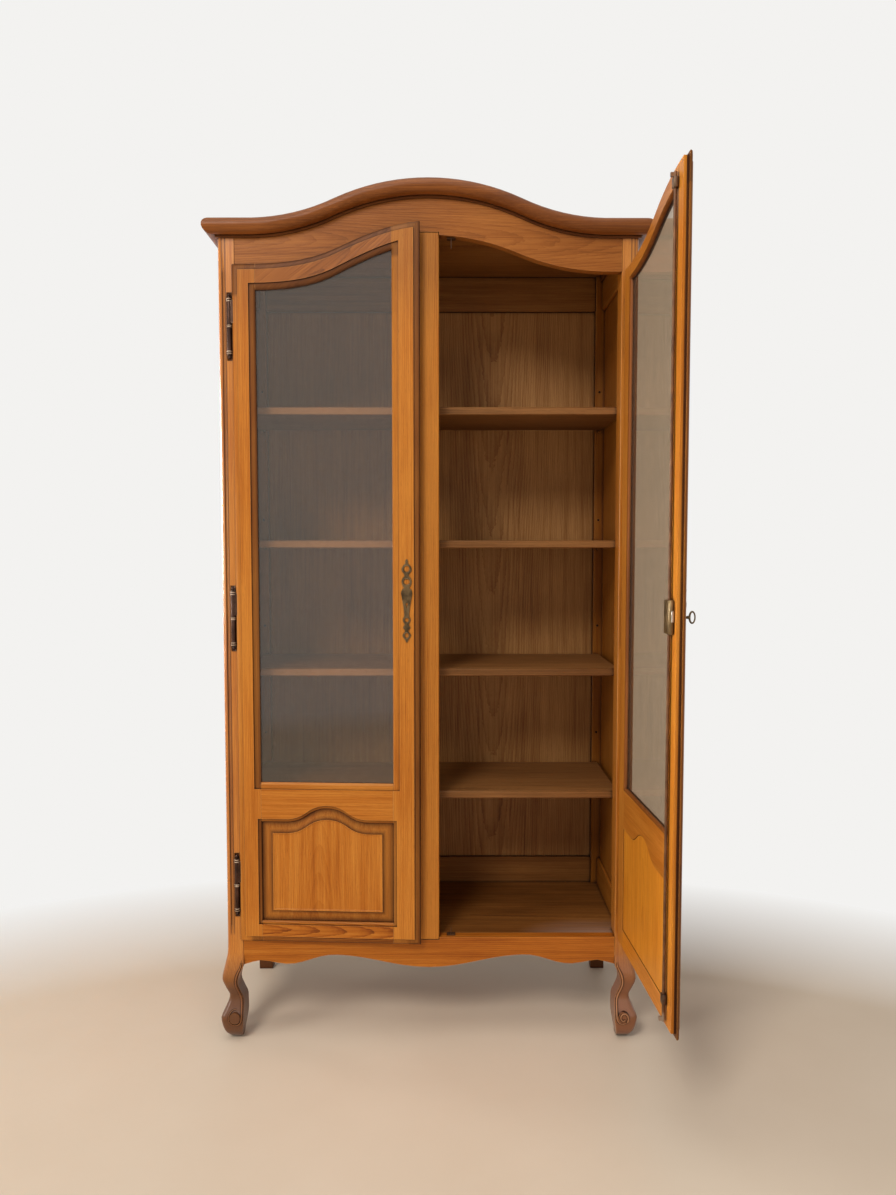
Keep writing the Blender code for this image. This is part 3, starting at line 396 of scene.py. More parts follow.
    def finished(self):
        """The material, with patina and painted shade over its marks, rubbed edges and its grain in relief.
        """
        grime_and_shade = self.times(self.grime_and_shade, self.spread(self.patches, 0.3, 0.7, 0.85, 1.1), clamp=True)
        colour = self.mix(grime_and_shade, self.colour, self.colours["patina"])
        rubbed = self.times(self.spread(self.edge(0.0021), 0.985, 0.86, 0.0, 0.6),
                            self.spread(self.patches, 0.38, 0.62, 0.15, 1.0))
        rubbed = self.times(rubbed, self.spread(self.corner, 0.82, 0.97, 0.0, 1.0), clamp=True)
        if self.groove is not None:
            rubbed = self.times(rubbed, self.spread(self.groove, 0.1, 0.5, 1.0, 0.0))
        colour = self.mix(rubbed, colour, self.colours["worn"])
        rough = self.plus(self.spread(self.fibres, 0.3, 0.7, self.gloss - 0.07, self.gloss + 0.1),
                          self.times(grime_and_shade, 0.2))
        height = self.plus(self.times(self.fibres, 0.6), self.times(self.pores, -0.5))
        height = self.plus(height, self.times(self.rings, 0.2 + 0.3 * self.figure))
        bump = self.add("Bump", Strength=0.28, Distance=0.0007, Height=height)
        return self.set(Base_Color=colour, Roughness=rough, Normal=bump, IOR=1.48, Specular_IOR_Level=0.2)


def metal(name, base, bright, dark, roughness, metallic=0.9, bright_below=None):
    """Old metal: brown patina with brighter rubbed edges, brighter below a height, and patina and painted
    shade in corners.
    """
    look = Look(name)
    base, bright, dark = (srgb(*colour) for colour in (base, bright, dark))
    here = look.where()
    spots = look.noise(here, 38.0, 4.0, 0.62)
    grit = look.noise(here, 900.0, 2.0, 0.6)
    colour = look.mix(look.spread(spots, 0.35, 0.68, 0.0, 1.0), dark, base)
    rubbed = look.times(look.spread(look.edge(0.0012), 0.99, 0.85, 0.0, 0.8),
                        look.spread(spots, 0.3, 0.6, 0.2, 1.0))
    colour = look.mix(rubbed, colour, bright)
    if bright_below:
        share = look.spread(look.axis(here, 2), bright_below, bright_below - 0.008, 0.0, 0.45)
        colour = look.mix(share, colour, bright)
    # Patina and painted shade in corners
    corner = look.add("AmbientOcclusion", 1, samples=4, Distance=0.004)
    colour = look.mix(look.spread(corner, 0.35, 0.85, 0.8, 0.0), colour, dark)
    rough = look.spread(grit, 0.3, 0.7, roughness - 0.08, roughness + 0.12)
    bump = look.add("Bump", Strength=0.3, Distance=0.0003, Height=look.plus(grit, spots))
    return look.set(Base_Color=colour, Roughness=rough, Metallic=metallic, Normal=bump)


def mixed(tree, share, first, second):
    """Two shaders mixed by a share, which is a number or a socket."""
    step = tree.nodes.new("ShaderNodeMixShader")
    for socket, value in zip(step.inputs, (share, first, second)):
        if isinstance(value, float):
            socket.default_value = value
        else:
            tree.links.new(value, socket)
    return step.outputs[0]


GLASS_BEND = 1.52
DUST = (srgb(176, 166, 152), srgb(206, 198, 186))


def window_glass(name, clear, dusty, veil):
    """Old drawn glass: a thin clear sheet that mirrors by its angle, slightly wavy, with a veil of dust."""
    look = Look(name)
    here = look.where()
    swell = look.noise(look.place(here, (1, 1, 0.5)), 7.0, 1.0)
    dust = look.noise(here, 55.0, 4.0, 0.6)
    bump = look.add("Bump", Strength=0.05, Distance=0.004, Height=swell)
    through = look.add("BsdfTransparent", Color=look.ramp(dust, (0.3, clear), (0.75, dusty)))
    mirror = look.add("BsdfGlossy", Roughness=look.spread(dust, 0.45, 0.8, 0.0, 0.07), Normal=bump)
    behind = look.add("NewGeometry", 6)
    bend = look.spread(behind, 0.0, 1.0, GLASS_BEND, 1 / GLASS_BEND)
    sheet = mixed(look.tree, look.add("Fresnel", IOR=bend), through, mirror)
    look.set(Base_Color=look.ramp(dust, (0.3, DUST[0]), (0.75, DUST[1])), Roughness=0.8)
    output = look.tree.nodes["Material Output"]
    look.tree.links.new(mixed(look.tree, veil, sheet, look.shader.outputs[0]), output.inputs["Surface"])
    return look.material


BRONZE = metal("aged_bronze", (122, 98, 66), (186, 158, 112), (62, 48, 32), 0.42)
HINGE_BRONZE = metal("hinge_bronze", (84, 58, 46), (206, 172, 142), (50, 32, 24), 0.3, 0.8)
LOCK_BRASS = metal("lock_brass", (138, 114, 76), (196, 172, 126), (92, 74, 48), 0.42, 0.6)
# Pale bronze of the hinge rings, a painted highlight
PAINTED_HIGHLIGHT_BRONZE = metal("bronze_painted_highlight", (220, 196, 168), (244, 230, 210), (150, 122, 96), 0.36, 0.35)
IRON = metal("browned_iron", (116, 92, 70), (186, 168, 146), (70, 50, 36), 0.46, 0.7)
ROD_IRON = metal("worn_iron", (128, 88, 54), (186, 174, 158), (88, 56, 32), 0.42, 0.4, 0.290)
STAINED_IRON = metal("stained_iron", (84, 53, 27), (112, 78, 46), (58, 36, 18), 0.6, 0.2)
STEEL = metal("rubbed_steel", (205, 198, 186), (232, 228, 220), (150, 140, 126), 0.3, 0.95)
# The right pane's darker, warmer tint is painted shade and painted reflection
GLASS = {"left": window_glass("left_window_glass", srgb(248, 245, 240), srgb(240, 236, 229), 0.045),
         "right": window_glass("right_window_glass", srgb(222, 208, 190), srgb(212, 198, 180), 0.05)}

# Pieces


def in_scene(name, data, body, look, place=None):
    """A piece that rides a body and has a slot."""
    made = bpy.data.objects.new(name, data)
    bpy.context.scene.collection.objects.link(made)
    data.materials.clear()
    data.materials.append(look)
    if place is not None:
        made.matrix_world = place
    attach(made, body)
    return made


def mesh_piece(name, bm, body, look, sharp=180.0):
    """A piece that is shaded smooth but for edges sharper than an angle."""
    mesh = bpy.data.meshes.new(name)
    bm.to_mesh(mesh)
    bm.free()
    mesh.shade_smooth()
    mesh.set_sharp_from_angle(angle=math.radians(sharp))
    return in_scene(name, mesh, body, look)


def fine_copy(node, look, sharp):
    """The node's own form with its curved faces shaded as curves, standing for the node."""
    bm = bmesh.new()
    bm.from_mesh(nodes[node].data)
    bmesh.ops.remove_doubles(bm, verts=bm.verts, dist=2e-5)
    bmesh.ops.dissolve_limit(bm, angle_limit=math.radians(0.4), verts=bm.verts, edges=bm.edges)
    bm.verts.index_update()
    mesh = bpy.data.meshes.new(node + "_fine")
    mesh.from_pydata([v.co.copy() for v in bm.verts], [], [[v.index for v in f.verts] for f in bm.faces])
    bm.free()
    mesh.shade_smooth()
    mesh.set_sharp_from_angle(angle=math.radians(sharp))
    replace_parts(in_scene(node + "_fine", mesh, node_body[node], look), node)


def tube(name, points, radius, body, look, sizes=None):
    """A round strip along points, closed on itself where no sizes are given for its points."""
    line = bpy.data.curves.new(name, "CURVE")
    line.dimensions = "3D"
    line.bevel_depth = radius
    line.bevel_resolution = 3
    line.use_fill_caps = True
    spline = line.splines.new("POLY")
    spline.points.add(len(points) - 1)
    for k, (spot, at) in enumerate(zip(spline.points, points)):
        spot.co = (*at, 1.0)
        spot.radius = sizes[k] if sizes else 1.0
    spline.use_cyclic_u = sizes is None
    spline.use_smooth = True
    in_scene(name, line, body, look)


def circle(count):
    """Angles round a circle."""
    return [2 * math.pi * k / count for k in range(count)]


def skin(bm, rows, joined=False):
    """Faces between rows of vertices that close on themselves; joined, the last row also meets the first."""
    for low, high in zip(rows, rows[1:] + rows[:1] if joined else rows[1:]):
        for k in range(len(low)):
            after = (k + 1) % len(low)
            bm.faces.new((low[k], low[after], high[after], high[k]))


def middle_of(node):
    low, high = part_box(node)
    return (low + high) / 2


def slope_at(points, k):
    """Slope of a smooth curve at one of its points, flat at the ends and where the curve turns back."""
    if k in (0, len(points) - 1):
        return 0.0
    (p0, v0), (p1, v1), (p2, v2) = points[k - 1:k + 2]
    before = (v1 - v0) / (p1 - p0)
    after = (v2 - v1) / (p2 - p1)
    return 0.0 if before * after <= 0.0 else 2 * before * after / (before + after)


def smooth_through(points, at):
    """Cubic curve through (position, value) pairs, listed from high to low position."""
    k = 0
    while k < len(points) - 2 and at < points[k + 1][0]:
        k += 1
    (p0, v0), (p1, v1) = points[k], points[k + 1]
    run = p1 - p0
    t = min(max((at - p0) / run, 0.0), 1.0)
    m0 = slope_at(points, k) * run
    m1 = slope_at(points, k + 1) * run
    return ((2 * t ** 3 - 3 * t ** 2 + 1) * v0 + (t ** 3 - 2 * t ** 2 + t) * m0
            + (3 * t ** 2 - 2 * t ** 3) * v1 + (t ** 3 - t ** 2) * m1)


def door_turn(side):
    """From the door's closed place to its place at rest."""
    about = Matrix.Translation((SIGN[side] * HINGE_X, HINGE_Y, 0.0))
    return about @ Matrix.Rotation(OPEN[side], 4, "Z") @ about.inverted()


REST = {side: door_turn(side) for side in SIGN}

# Wood pieces, each with its own board

SIDE_GRAIN = ("cornice_left", "cornice_right", "left_side_top_rail", "left_side_bottom_rail",
              "right_side_top_rail", "right_side_bottom_rail")
ACROSS = ("front_frieze", "front_apron", "cornice_front", "floor_board", "top_board", "back_top_rail",
          "back_bottom_rail", "shelf_1", "shelf_2", "shelf_3", "shelf_4")
# How dark the painted shade is in a door frame's moulds, at the left or upper side and at the right or lower
# side
MOULD_SHADE = {"hinge_stile": (0.15, 1.0), "meeting_stile": (0.1, 1.0), "top_rail": (0.95, 0.95),
         "mid_rail": (0.15, 0.7), "bottom_rail": (0.3, 0.75),
         "right_door_meeting_stile": (0.62, 0.1), "right_door_hinge_stile": (1.0, 0.15)}
# Heights past which a stile's moulds get painted shade on both sides
STILE_ENDS = {"hinge_stile": (0.240, 1.800), "meeting_stile": (0.600, 1.885)}
FRAME_FACE = FRONT - 0.0105
PANEL_FACE = FRONT - 0.0070
# How far behind the front plane the painted shade reaches at the right door's meeting edge
EDGE_SHADE_REACH = 0.0035
TONES = {"front_apron": 0.18, "front_frieze": 0.09, "cornice_front": 0.12, "cornice_left": 0.12,
         "cornice_right": 0.12, "left_door_bottom_rail": 0.16, "left_door_top_rail": 0.14,
         "left_door_meeting_stile": -0.06, "left_door_panel": -0.02, "right_door_panel": -0.1,
         "floor_board": 0.2, "shelf_4": -0.05, "centre_mullion": -0.18, "right_door_hinge_stile": -0.1,
         "right_door_meeting_stile": 0.02, "right_door_bottom_rail": -0.04}
FIGURES = {"left_door_bottom_rail": 1.0, "left_door_panel": 0.15, "back_panel": 0.55,
           "left_door_top_rail": 0.6, "right_door_panel": 0.3, "left_side_panel": 0.6,
           "right_side_panel": 0.6, "floor_board": 0.5, "front_frieze": 0.4}
PITHS = {"back_panel": ((-0.18, 0.17, 0.0), 1.5), "left_side_panel": ((0.04, 0.16, 0.0), 3.0),
         "right_side_panel": ((-0.03, 0.17, 0.0), -3.0)}
COLOURS = {"front_frieze": UMBER, "left_door_top_rail": UMBER, "cornice_front": SHADED,
           "cornice_left": SHADED, "cornice_right": SHADED, "back_panel": DUSTY, "shelf_1": SHELF,
           "shelf_2": SHELF, "shelf_3": SHELF, "shelf_4": SHELF,
           "front_right_post": {**HONEY, "aged": srgb(136, 86, 58)}}
GLOSS = {"honey_stained_wood": 0.36, "inner_wood": 0.5}
# Angles in degrees past which edges are shaded sharp, on boards and on small pieces
WOOD_SHARP = 38.0
SMALL_SHARP = 50.0
# Painted shade on faces that look into the cabinet
INSIDE_PAINTED_SHADE = (0.56, 0.56, 0.56)
# Painted light on the inside of the right door, on faces that look to the front and left
PAINTED_LIGHT_TINTS = {"right_door_panel": (1.3, 1.36, 0.95), "right_door_bottom_rail": (1.25, 1.3, 0.95),
            "right_door_meeting_stile": (1.2, 1.26, 1.0)}
# X up to which light is painted on the shelves' front edges, and X, Y and reach of the floor board's paler
# spot
PAINTED_LIGHT_TO = -0.03
PALE_SPOT_AT = (0.415, -0.185, 0.10)
# Pieces with painted shade above a height
SHADED_CROWNS = ("left_door_hinge_stile", "left_door_meeting_stile", "centre_mullion")
CROWN_FROM = 1.70
# Heights below which the posts' feet are aged and carry painted shade
AGED_AND_SHADED_BELOW = {"left": 0.110, "right": 0.125}


def grain_of(node):
    if node in SIDE_GRAIN:
        return "deep"
    if node == "left_door_top_rail":
        return "leaning"
    if node in ACROSS or (node_body[node] != "carcase" and node.endswith("_rail")):
        return "across"
    return "up"


def shade_door(board, node, side):
    """Painted shade in what lies behind the face of a door's frame or panel."""
    part = node.split("door_")[-1]
    sides = MOULD_SHADE.get(node, MOULD_SHADE.get(part))
    shut = (REST[side].inverted() @ board.centre).y
    back = FRONT - shut
    if node == "right_door_meeting_stile":
        back += EDGE_SHADE_REACH
    if sides:
        board.shade_moulds(FRAME_FACE - shut, back, sides, STILE_ENDS.get(part))
    else:
        board.shade_panel(PANEL_FACE - shut, back)


def wood_look(node, slot):
    """The node's board, with the marks of its place, painted light and painted shade among them."""
    side = "left" if "left" in node else "right"
    sign = SIGN[side]
    on_door = node_body[node] != "carcase"
    colours = COLOURS.get(node, HONEY if slot == "honey_stained_wood" else INNER)
    board = Wood("wood_" + node, middle_of(node), grain_of(node), colours, OPEN[side] if on_door else 0.0,
                 FIGURES.get(node, 0.0), TONES.get(node, 0.0), GLOSS[slot], PITHS.get(node))
    if node.startswith("rear"):
        board.tint_faces((-0.8 * sign, -0.8, 0.0), INSIDE_PAINTED_SHADE)
    elif "_side_" in node:
        board.tint_faces((-1.0 * sign, 0.0, 0.0), INSIDE_PAINTED_SHADE)
    elif node in PAINTED_LIGHT_TINTS:
        board.tint_faces((-0.8, -0.6, 0.0), PAINTED_LIGHT_TINTS[node])
    if node.startswith("shelf"):
        board.light_front_edges(PAINTED_LIGHT_TO)
    if node == "floor_board":
        board.pale_spot(*PALE_SPOT_AT)
    if node in SHADED_CROWNS:
        board.shade_crown(CROWN_FROM)
    if node.endswith("_post"):
        board.age_and_shade_foot(AGED_AND_SHADED_BELOW[side])
    if on_door:
        shade_door(board, node, side)
    if node in ("front_left_post", "front_right_post"):
        board.darken_flute()
    return board.finished()


for node, slot in slot_of.items():
    if slot in GLOSS:
        fine_copy(node, wood_look(node, slot), WOOD_SHARP)

for node, slot in slot_of.items():
    if slot == "window_glass":
        pane_data = nodes[node].data
        pane_data.materials.clear()
        pane_data.materials.append(GLASS[node.split("_")[0]])
    elif slot == "aged_bronze" and node != "key" and not node.endswith("escutcheon"):
        fine_copy(node, HINGE_BRONZE if "hinge" in node else LOCK_BRASS, SMALL_SHARP)
    elif slot == "browned_iron":
        look = STAINED_IRON if "catch" in node else ROD_IRON if node == "lock_rod" else IRON
        fine_copy(node, look, SMALL_SHARP)

# Carved scrolls of the front feet

LEG_MIDDLE = (0.47, FRONT, 0.1)
# Colours of the carvings' aged feet, and the height below which they and painted shade set in
CARVED_AGE = {"left": srgb(128, 84, 56), "right": srgb(176, 126, 92)}
CARVED_AGED_BELOW = 0.125
CARVED = {}
for side, sign in SIGN.items():
    carved_middle = (sign * LEG_MIDDLE[0], *LEG_MIDDLE[1:])
    carved_board = Wood(f"wood_{side}_carving", carved_middle, "up", {**HONEY, "aged": CARVED_AGE[side]})
    carved_board.age_and_shade_foot(CARVED_AGED_BELOW)
    CARVED[side] = carved_board.finished()
# The dark strips beside the carved bead are painted groove shade
GROOVE_SHADE = Wood("wood_groove", LEG_MIDDLE, "up", GROOVE_SHADE_COLOURS).finished()
# Turns of the scroll, how far it closes in, and how much thinner its bead gets
CURL = {"left": (0.85, 0.0020, 0.65), "right": (1.45, 0.0131, 0.3)}
CARVED_TOP = 0.200
CARVED_INSET = 0.0052
SCROLL_TOP = 0.088
SCROLL_START = math.radians(160)
SCROLL_RADIUS = 0.0178
SCROLL_OVAL = (0.92, 1.12)
BEAD_RADIUS = 0.0021
BEAD_PROUD = 0.0007
GROOVE_START = 0.0012
GROOVE_WIDTH = 0.0026
GROOVE_PROUD = 0.0003
TOE_HEIGHT = 0.030
TOE_DEPTH = 0.020
EYE_RADIUS = 0.0135
EYE_PROUD = 0.0035


def leg_front(z):
    """Y of the leg's front at a height."""
    outer = smooth_through(LEG_OUTER, z)
    fall = max(0.0, (TOE_HEIGHT - z) / TOE_HEIGHT)
    return FRONT - (outer - POST_OUT) + TOE_DEPTH * (1 - math.sqrt(1 - fall * fall))


def carved_face(x, z):
    """Y of the leg's front, or of the eye's face, which stands before it."""
    on_eye = math.hypot(x - EYE_X, z - EYE_Z) < EYE_RADIUS
    return min(leg_front(z), leg_front(EYE_Z) - EYE_PROUD) if on_eye else leg_front(z)


def evened(points, times):
    """Points with each one drawn toward its neighbours, a number of times."""
    for _ in range(times):
        points = [points[0]] + [tuple((a + 2 * b + c) / 4 for a, b, c in zip(p, q, r))
                                for p, q, r in zip(points, points[1:], points[2:])] + [points[-1]]
    return points


def carving_line(side):
    """X and Z along the carving on the right foot's side of the cabinet, and the bead's relative sizes."""
    turns, closing, thinning = CURL[side]
    line, sizes = [], []
    for k in range(26):
        z = CARVED_TOP - (CARVED_TOP - SCROLL_TOP) * k / 25
        line.append((smooth_through(LEG_INNER, z) + CARVED_INSET, z))
        sizes.append(0.4 + 0.6 * min(1.0, k / 8))
    for k in range(73):
        share = k / 72
        angle = SCROLL_START + share * turns * 2 * math.pi
        radius = SCROLL_RADIUS - closing * share ** 0.9
        line.append((EYE_X + SCROLL_OVAL[0] * radius * math.cos(angle),
                     EYE_Z + SCROLL_OVAL[1] * radius * math.sin(angle)))
        sizes.append(1.0 - thinning * share)
    return evened(line, 3), sizes


def foot_carving(side):
    """A bead between two dark strips of painted groove shade, down the leg's inner front edge and rolled
    round the scroll's eye.
    """
    sign = SIGN[side]
    line, sizes = carving_line(side)
    bead = evened([(x, carved_face(x, z) - BEAD_PROUD, z) for x, z in line], 1)
    tube(f"{side}_foot_carving", [(sign * x, y, z) for x, y, z in bead], BEAD_RADIUS, "carcase", CARVED[side],
         sizes)
    bm = bmesh.new()
    for way in (-1, 1):
        before = None
        for k in range(1, len(line) - 1):
            run = (Vector(line[k + 1]) - Vector(line[k - 1])).normalized()
            aside = Vector((-run.y, run.x)) * way
            pair = []
            for reach in (GROOVE_START, GROOVE_START + GROOVE_WIDTH * sizes[k]):
                x, z = Vector(line[k]) + aside * reach
                pair.append(bm.verts.new((sign * x, carved_face(x, z) - GROOVE_PROUD, z)))
            if before:
                bm.faces.new((*before, *pair[::-1]))
            before = pair
    bm.normal_update()
    for face in bm.faces:
        if face.normal.y > 0:
            face.normal_flip()
    mesh_piece(f"{side}_foot_groove_shade", bm, "carcase", GROOVE_SHADE, 0.0)


for side in SIGN:
    foot_carving(side)

# Rings on the hinge barrels, by their height from the joint and their radius

RINGS = ((0.0630, 0.0060), (0.0580, 0.0057), (0.0018, 0.0058))
RING_PROUD = 0.0007
RING_HALF_HEIGHT = 0.0010


def hinge_rings(side, place, height):
    """Turned rings at both ends of each barrel half, in a pale bronze that is a painted highlight."""
    for half, body, way in (("fixed", "carcase", -1), ("moving", f"{side}_door", 1)):
        bm = bmesh.new()
        for up, wide in RINGS:
            rows = []
            for a in circle(20):
                row = []
                for b in circle(8):
                    reach = wide + RING_PROUD * math.cos(b)
                    row.append(bm.verts.new((SIGN[side] * HINGE_X + reach * math.cos(a),
                                             HINGE_Y + reach * math.sin(a),
                                             height + way * up + RING_HALF_HEIGHT * math.sin(b))))
                rows.append(row)
            skin(bm, rows, joined=True)
        bmesh.ops.recalc_face_normals(bm, faces=bm.faces)
        mesh_piece(f"{side}_hinge_{place}_{half}_rings", bm, body, PAINTED_HIGHLIGHT_BRONZE)


for side in SIGN:
    for place, height in HINGE_HEIGHTS:
        hinge_rings(side, place, height)

# Escutcheons: pierced plates with rounded edges, raised rims and nails

HALF_WIDTHS = ((0.0975, 0.0012), (0.0920, 0.0030), (0.0885, 0.0022), (0.0840, 0.0070), (0.0770, 0.0112),
               (0.0700, 0.0108), (0.0640, 0.0060), (0.0585, 0.0050), (0.0540, 0.0090), (0.0450, 0.0118),
               (0.0360, 0.0092), (0.0305, 0.0060), (0.0270, 0.0102), (0.0190, 0.0130), (0.0080, 0.0112),
               (-0.0120, 0.0078), (-0.0300, 0.0056), (-0.0370, 0.0062), (-0.0450, 0.0092),
               (-0.0530, 0.0056), (-0.0570, 0.0048), (-0.0630, 0.0084), (-0.0690, 0.0042),
               (-0.0730, 0.0044), (-0.0800, 0.0094), (-0.0850, 0.0084), (-0.0910, 0.0040),
               (-0.0975, 0.0010))
# Height, half width and half height of each opening
OPENINGS = ((0.0755, 0.0068, 0.0075), (0.0450, 0.0075, 0.0068), (-0.0450, 0.0050, 0.0052),
            (-0.0815, 0.0050, 0.0062))
PLATE_X = 0.0505
PLATE_Z = 1.083
PLATE_FACE = FRONT - 0.0124
PLATE_MIDDLE = PLATE_FACE + 0.0008
PLATE_HALF = 0.0004
PLATE_EASE = 0.0005
PLATE_SHRINK = -0.0003
KEY_Z = PLATE_Z - 0.0075
KEYHOLE_RADIUS = 0.0032
KEYHOLE_FOOT = (0.0013, PLATE_Z - 0.0175)
KEY_RIM = (PLATE_Z - 0.0105, 0.0058, 0.0094)
RIM_RADIUS = 0.0007
KEY_RIM_RADIUS = 0.0006
RIM_GAP = 0.0010
NAILS = (0.0605, -0.0555)
NAIL_RADIUS = 0.0018
NAIL_FLATNESS = 0.6


def rounded(points):
    """A closed line through the points with smooth turns."""
    made = []
    count = len(points)
    for k in range(count):
        p0, p1, p2, p3 = (Vector(points[(k + j) % count]) for j in (-1, 0, 1, 2))
        for step in range(4):
            t = step / 4
            made.append(0.5 * (2 * p1 + (p2 - p0) * t + (2 * p0 - 5 * p1 + 4 * p2 - p3) * t * t
                               + (3 * p1 - p0 - 3 * p2 + p3) * t ** 3))
    return made


def ring_points(x, z, wide, tall):
    return [(x + wide * math.cos(a), z + tall * math.sin(a)) for a in circle(28)]


def plate_loops(x):
    """The plate's outline, its openings and its keyhole."""
    outline = [(x + w, PLATE_Z + h) for h, w in HALF_WIDTHS]
    outline += [(x - w, PLATE_Z + h) for h, w in reversed(HALF_WIDTHS)]
    keyhole = []
    for k in range(17):
        a = math.radians(-65 + 310 * k / 16)
        keyhole.append((x + KEYHOLE_RADIUS * math.cos(a), KEY_Z + KEYHOLE_RADIUS * math.sin(a)))
    half, foot = KEYHOLE_FOOT
    keyhole += [(x - half, foot), (x + half, foot)]
    openings = [ring_points(x, PLATE_Z + h, w, t) for h, w, t in OPENINGS]
    return [rounded(outline), *openings, keyhole]


def rim(name, points, radius, side):
    """A raised rim on the plate's face."""
    tube(name, [REST[side] @ Vector((x, PLATE_FACE, z)) for x, z in points], radius, f"{side}_door", BRONZE)


def escutcheon(side):
    """A plate that stands for the CAD one, with its rims and nails."""
    x = SIGN[side] * PLATE_X
    flat = bpy.data.curves.new(f"{side}_escutcheon", "CURVE")
    flat.dimensions = "2D"
    flat.fill_mode = "BOTH"
    flat.extrude = PLATE_HALF
    flat.bevel_depth = PLATE_EASE
    flat.bevel_resolution = 2
    flat.offset = PLATE_SHRINK
    for loop in plate_loops(x):
        spline = flat.splines.new("POLY")
        spline.points.add(len(loop) - 1)
        for spot, at in zip(spline.points, loop):
            spot.co = (at[0], at[1], 0.0, 1.0)
        spline.use_cyclic_u = True
    upright = Matrix.Rotation(math.pi / 2, 4, "X")
    place = REST[side] @ Matrix.Translation((0, PLATE_MIDDLE, 0)) @ upright
    plate = in_scene(f"{side}_escutcheon", flat, f"{side}_door", BRONZE, place)
    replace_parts(plate, f"{side}_door_escutcheon")
    for k, (h, w, t) in enumerate(OPENINGS):
        around = ring_points(x, PLATE_Z + h, w + RIM_GAP, t + RIM_GAP)
        rim(f"{side}_escutcheon_rim_{k + 1}", around, RIM_RADIUS, side)
    rim(f"{side}_escutcheon_key_rim", ring_points(x, *KEY_RIM), KEY_RIM_RADIUS, side)
    for k, h in enumerate(NAILS):
        dome = bmesh.new()
        bmesh.ops.create_uvsphere(dome, u_segments=14, v_segments=8, radius=NAIL_RADIUS)
        there = REST[side] @ Matrix.Translation((x, PLATE_FACE, PLATE_Z + h))
        flattened = there @ Matrix.Diagonal((1, NAIL_FLATNESS, 1, 1))
        bmesh.ops.transform(dome, matrix=flattened, verts=dome.verts)
        mesh_piece(f"{side}_escutcheon_nail_{k + 1}", dome, f"{side}_door", BRONZE)


for side in SIGN:
    escutcheon(side)

# Glazing beads inside the doors

HAT_RUN = 0.420
HAT_RISE = 0.084
HEAD_Z = 1.854
PANE_LEFT = -0.4035
PANE_RIGHT = -0.0845
PANE_FOOT = 0.6445
BEAD_MIDDLE = (0.245, -0.195, 1.2)
# How far the pane's head lies below the door's arch, rises more in the middle and sags at the flank
PANE_TOP = {"left": (0.0465, 0.016, 0.015), "right": (0.036, -0.0045, 0.0)}
# Y and spread of the bead's section
BEAD_LAYERS = ((-0.1988, 0.0002), (-0.1955, 0.0004), (-0.1935, 0.0014), (-0.1921, 0.0030),
               (-0.1914, 0.0056))


def hat(x):
    """Height of the arch over its ends: a crown between two hollow flanks of the same radius."""
    x = abs(x)
    if x >= HAT_RUN:
        return 0.0
    bend = 2 * math.atan2(HAT_RISE, HAT_RUN)
    radius = HAT_RUN / math.sin(bend) / 2
    if x <= radius * math.sin(bend):
        return HAT_RISE - radius + math.sqrt(radius * radius - x * x)
    return radius - math.sqrt(radius * radius - (HAT_RUN - x) ** 2)


def pane(spread, side):
    """The glass opening, drawn on the left and let out by a spread."""
    x0, x1, foot = PANE_LEFT - spread, PANE_RIGHT + spread, PANE_FOOT - spread
    drop, rise, sag = PANE_TOP[side]
    made = [(x0, foot), (x1, foot)]
    for k in range(17):
        x = x1 + (x0 - x1) * k / 16
        arch = hat(x)
        flank = math.sin(math.pi * min(abs(x) / HAT_RUN, 1.0)) ** 2
        made.append((x, HEAD_Z + arch + spread - drop + rise * arch / HAT_RISE - sag * flank))
    return made


def glazing_bead(side):
    """A quarter-round strip in the rebate behind the glass."""
    mirror = -SIGN[side]
    bm = bmesh.new()
    rows = []
    for y, spread in BEAD_LAYERS:
        rows.append([bm.verts.new(REST[side] @ Vector((mirror * x, y, z))) for x, z in pane(spread, side)])
    skin(bm, rows)
    bmesh.ops.recalc_face_normals(bm, faces=bm.faces)
    centre = REST[side] @ Vector((SIGN[side] * BEAD_MIDDLE[0], *BEAD_MIDDLE[1:]))
    look = Wood(f"wood_{side}_bead", centre, "up", SHADED, OPEN[side]).finished()
    mesh_piece(f"{side}_glazing_bead", bm, f"{side}_door", look, SMALL_SHARP)


for side in SIGN:
    glazing_bead(side)

# Lock bolt and key on the right door

BOLT_LOW = (0.0421, -0.1898, 1.0665)
BOLT_HIGH = (0.0450, -0.1848, 1.0885)
BOLT_EASE = 0.0005
BOLT_SHARP = 40.0
BOW_TIP = FRONT - 0.0356
BOW_LONG = 0.0074
BOW_TALL = 0.0130
BOW_WIRE = 0.0020
KEY_END = max((REST["right"].inverted() @ corner).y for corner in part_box("key"))
# Collars of the shank, as distance from its start and radius
COLLARS = ((0.0, 0.0018), (0.0012, 0.0024), (0.0026, 0.0032), (0.0034, 0.0036), (0.0042, 0.0032),
           (0.0048, 0.0023), (0.0058, 0.0023), (0.0063, 0.0029), (0.0069, 0.0029), (0.0074, 0.0023))


def lock_bolt():
    """The end of the bolt, a box with eased edges."""
    bm = bmesh.new()
    bmesh.ops.create_cube(bm, size=1.0)
    for v in bm.verts:
        v.co = [low + (high - low) * (at + 0.5) for low, high, at in zip(BOLT_LOW, BOLT_HIGH, v.co)]
    bmesh.ops.bevel(bm, geom=list(bm.edges), offset=BOLT_EASE, segments=3, profile=0.6, affect="EDGES")
    bmesh.ops.transform(bm, matrix=REST["right"], verts=bm.verts)
    mesh_piece("lock_bolt", bm, "right_door", STEEL, BOLT_SHARP)


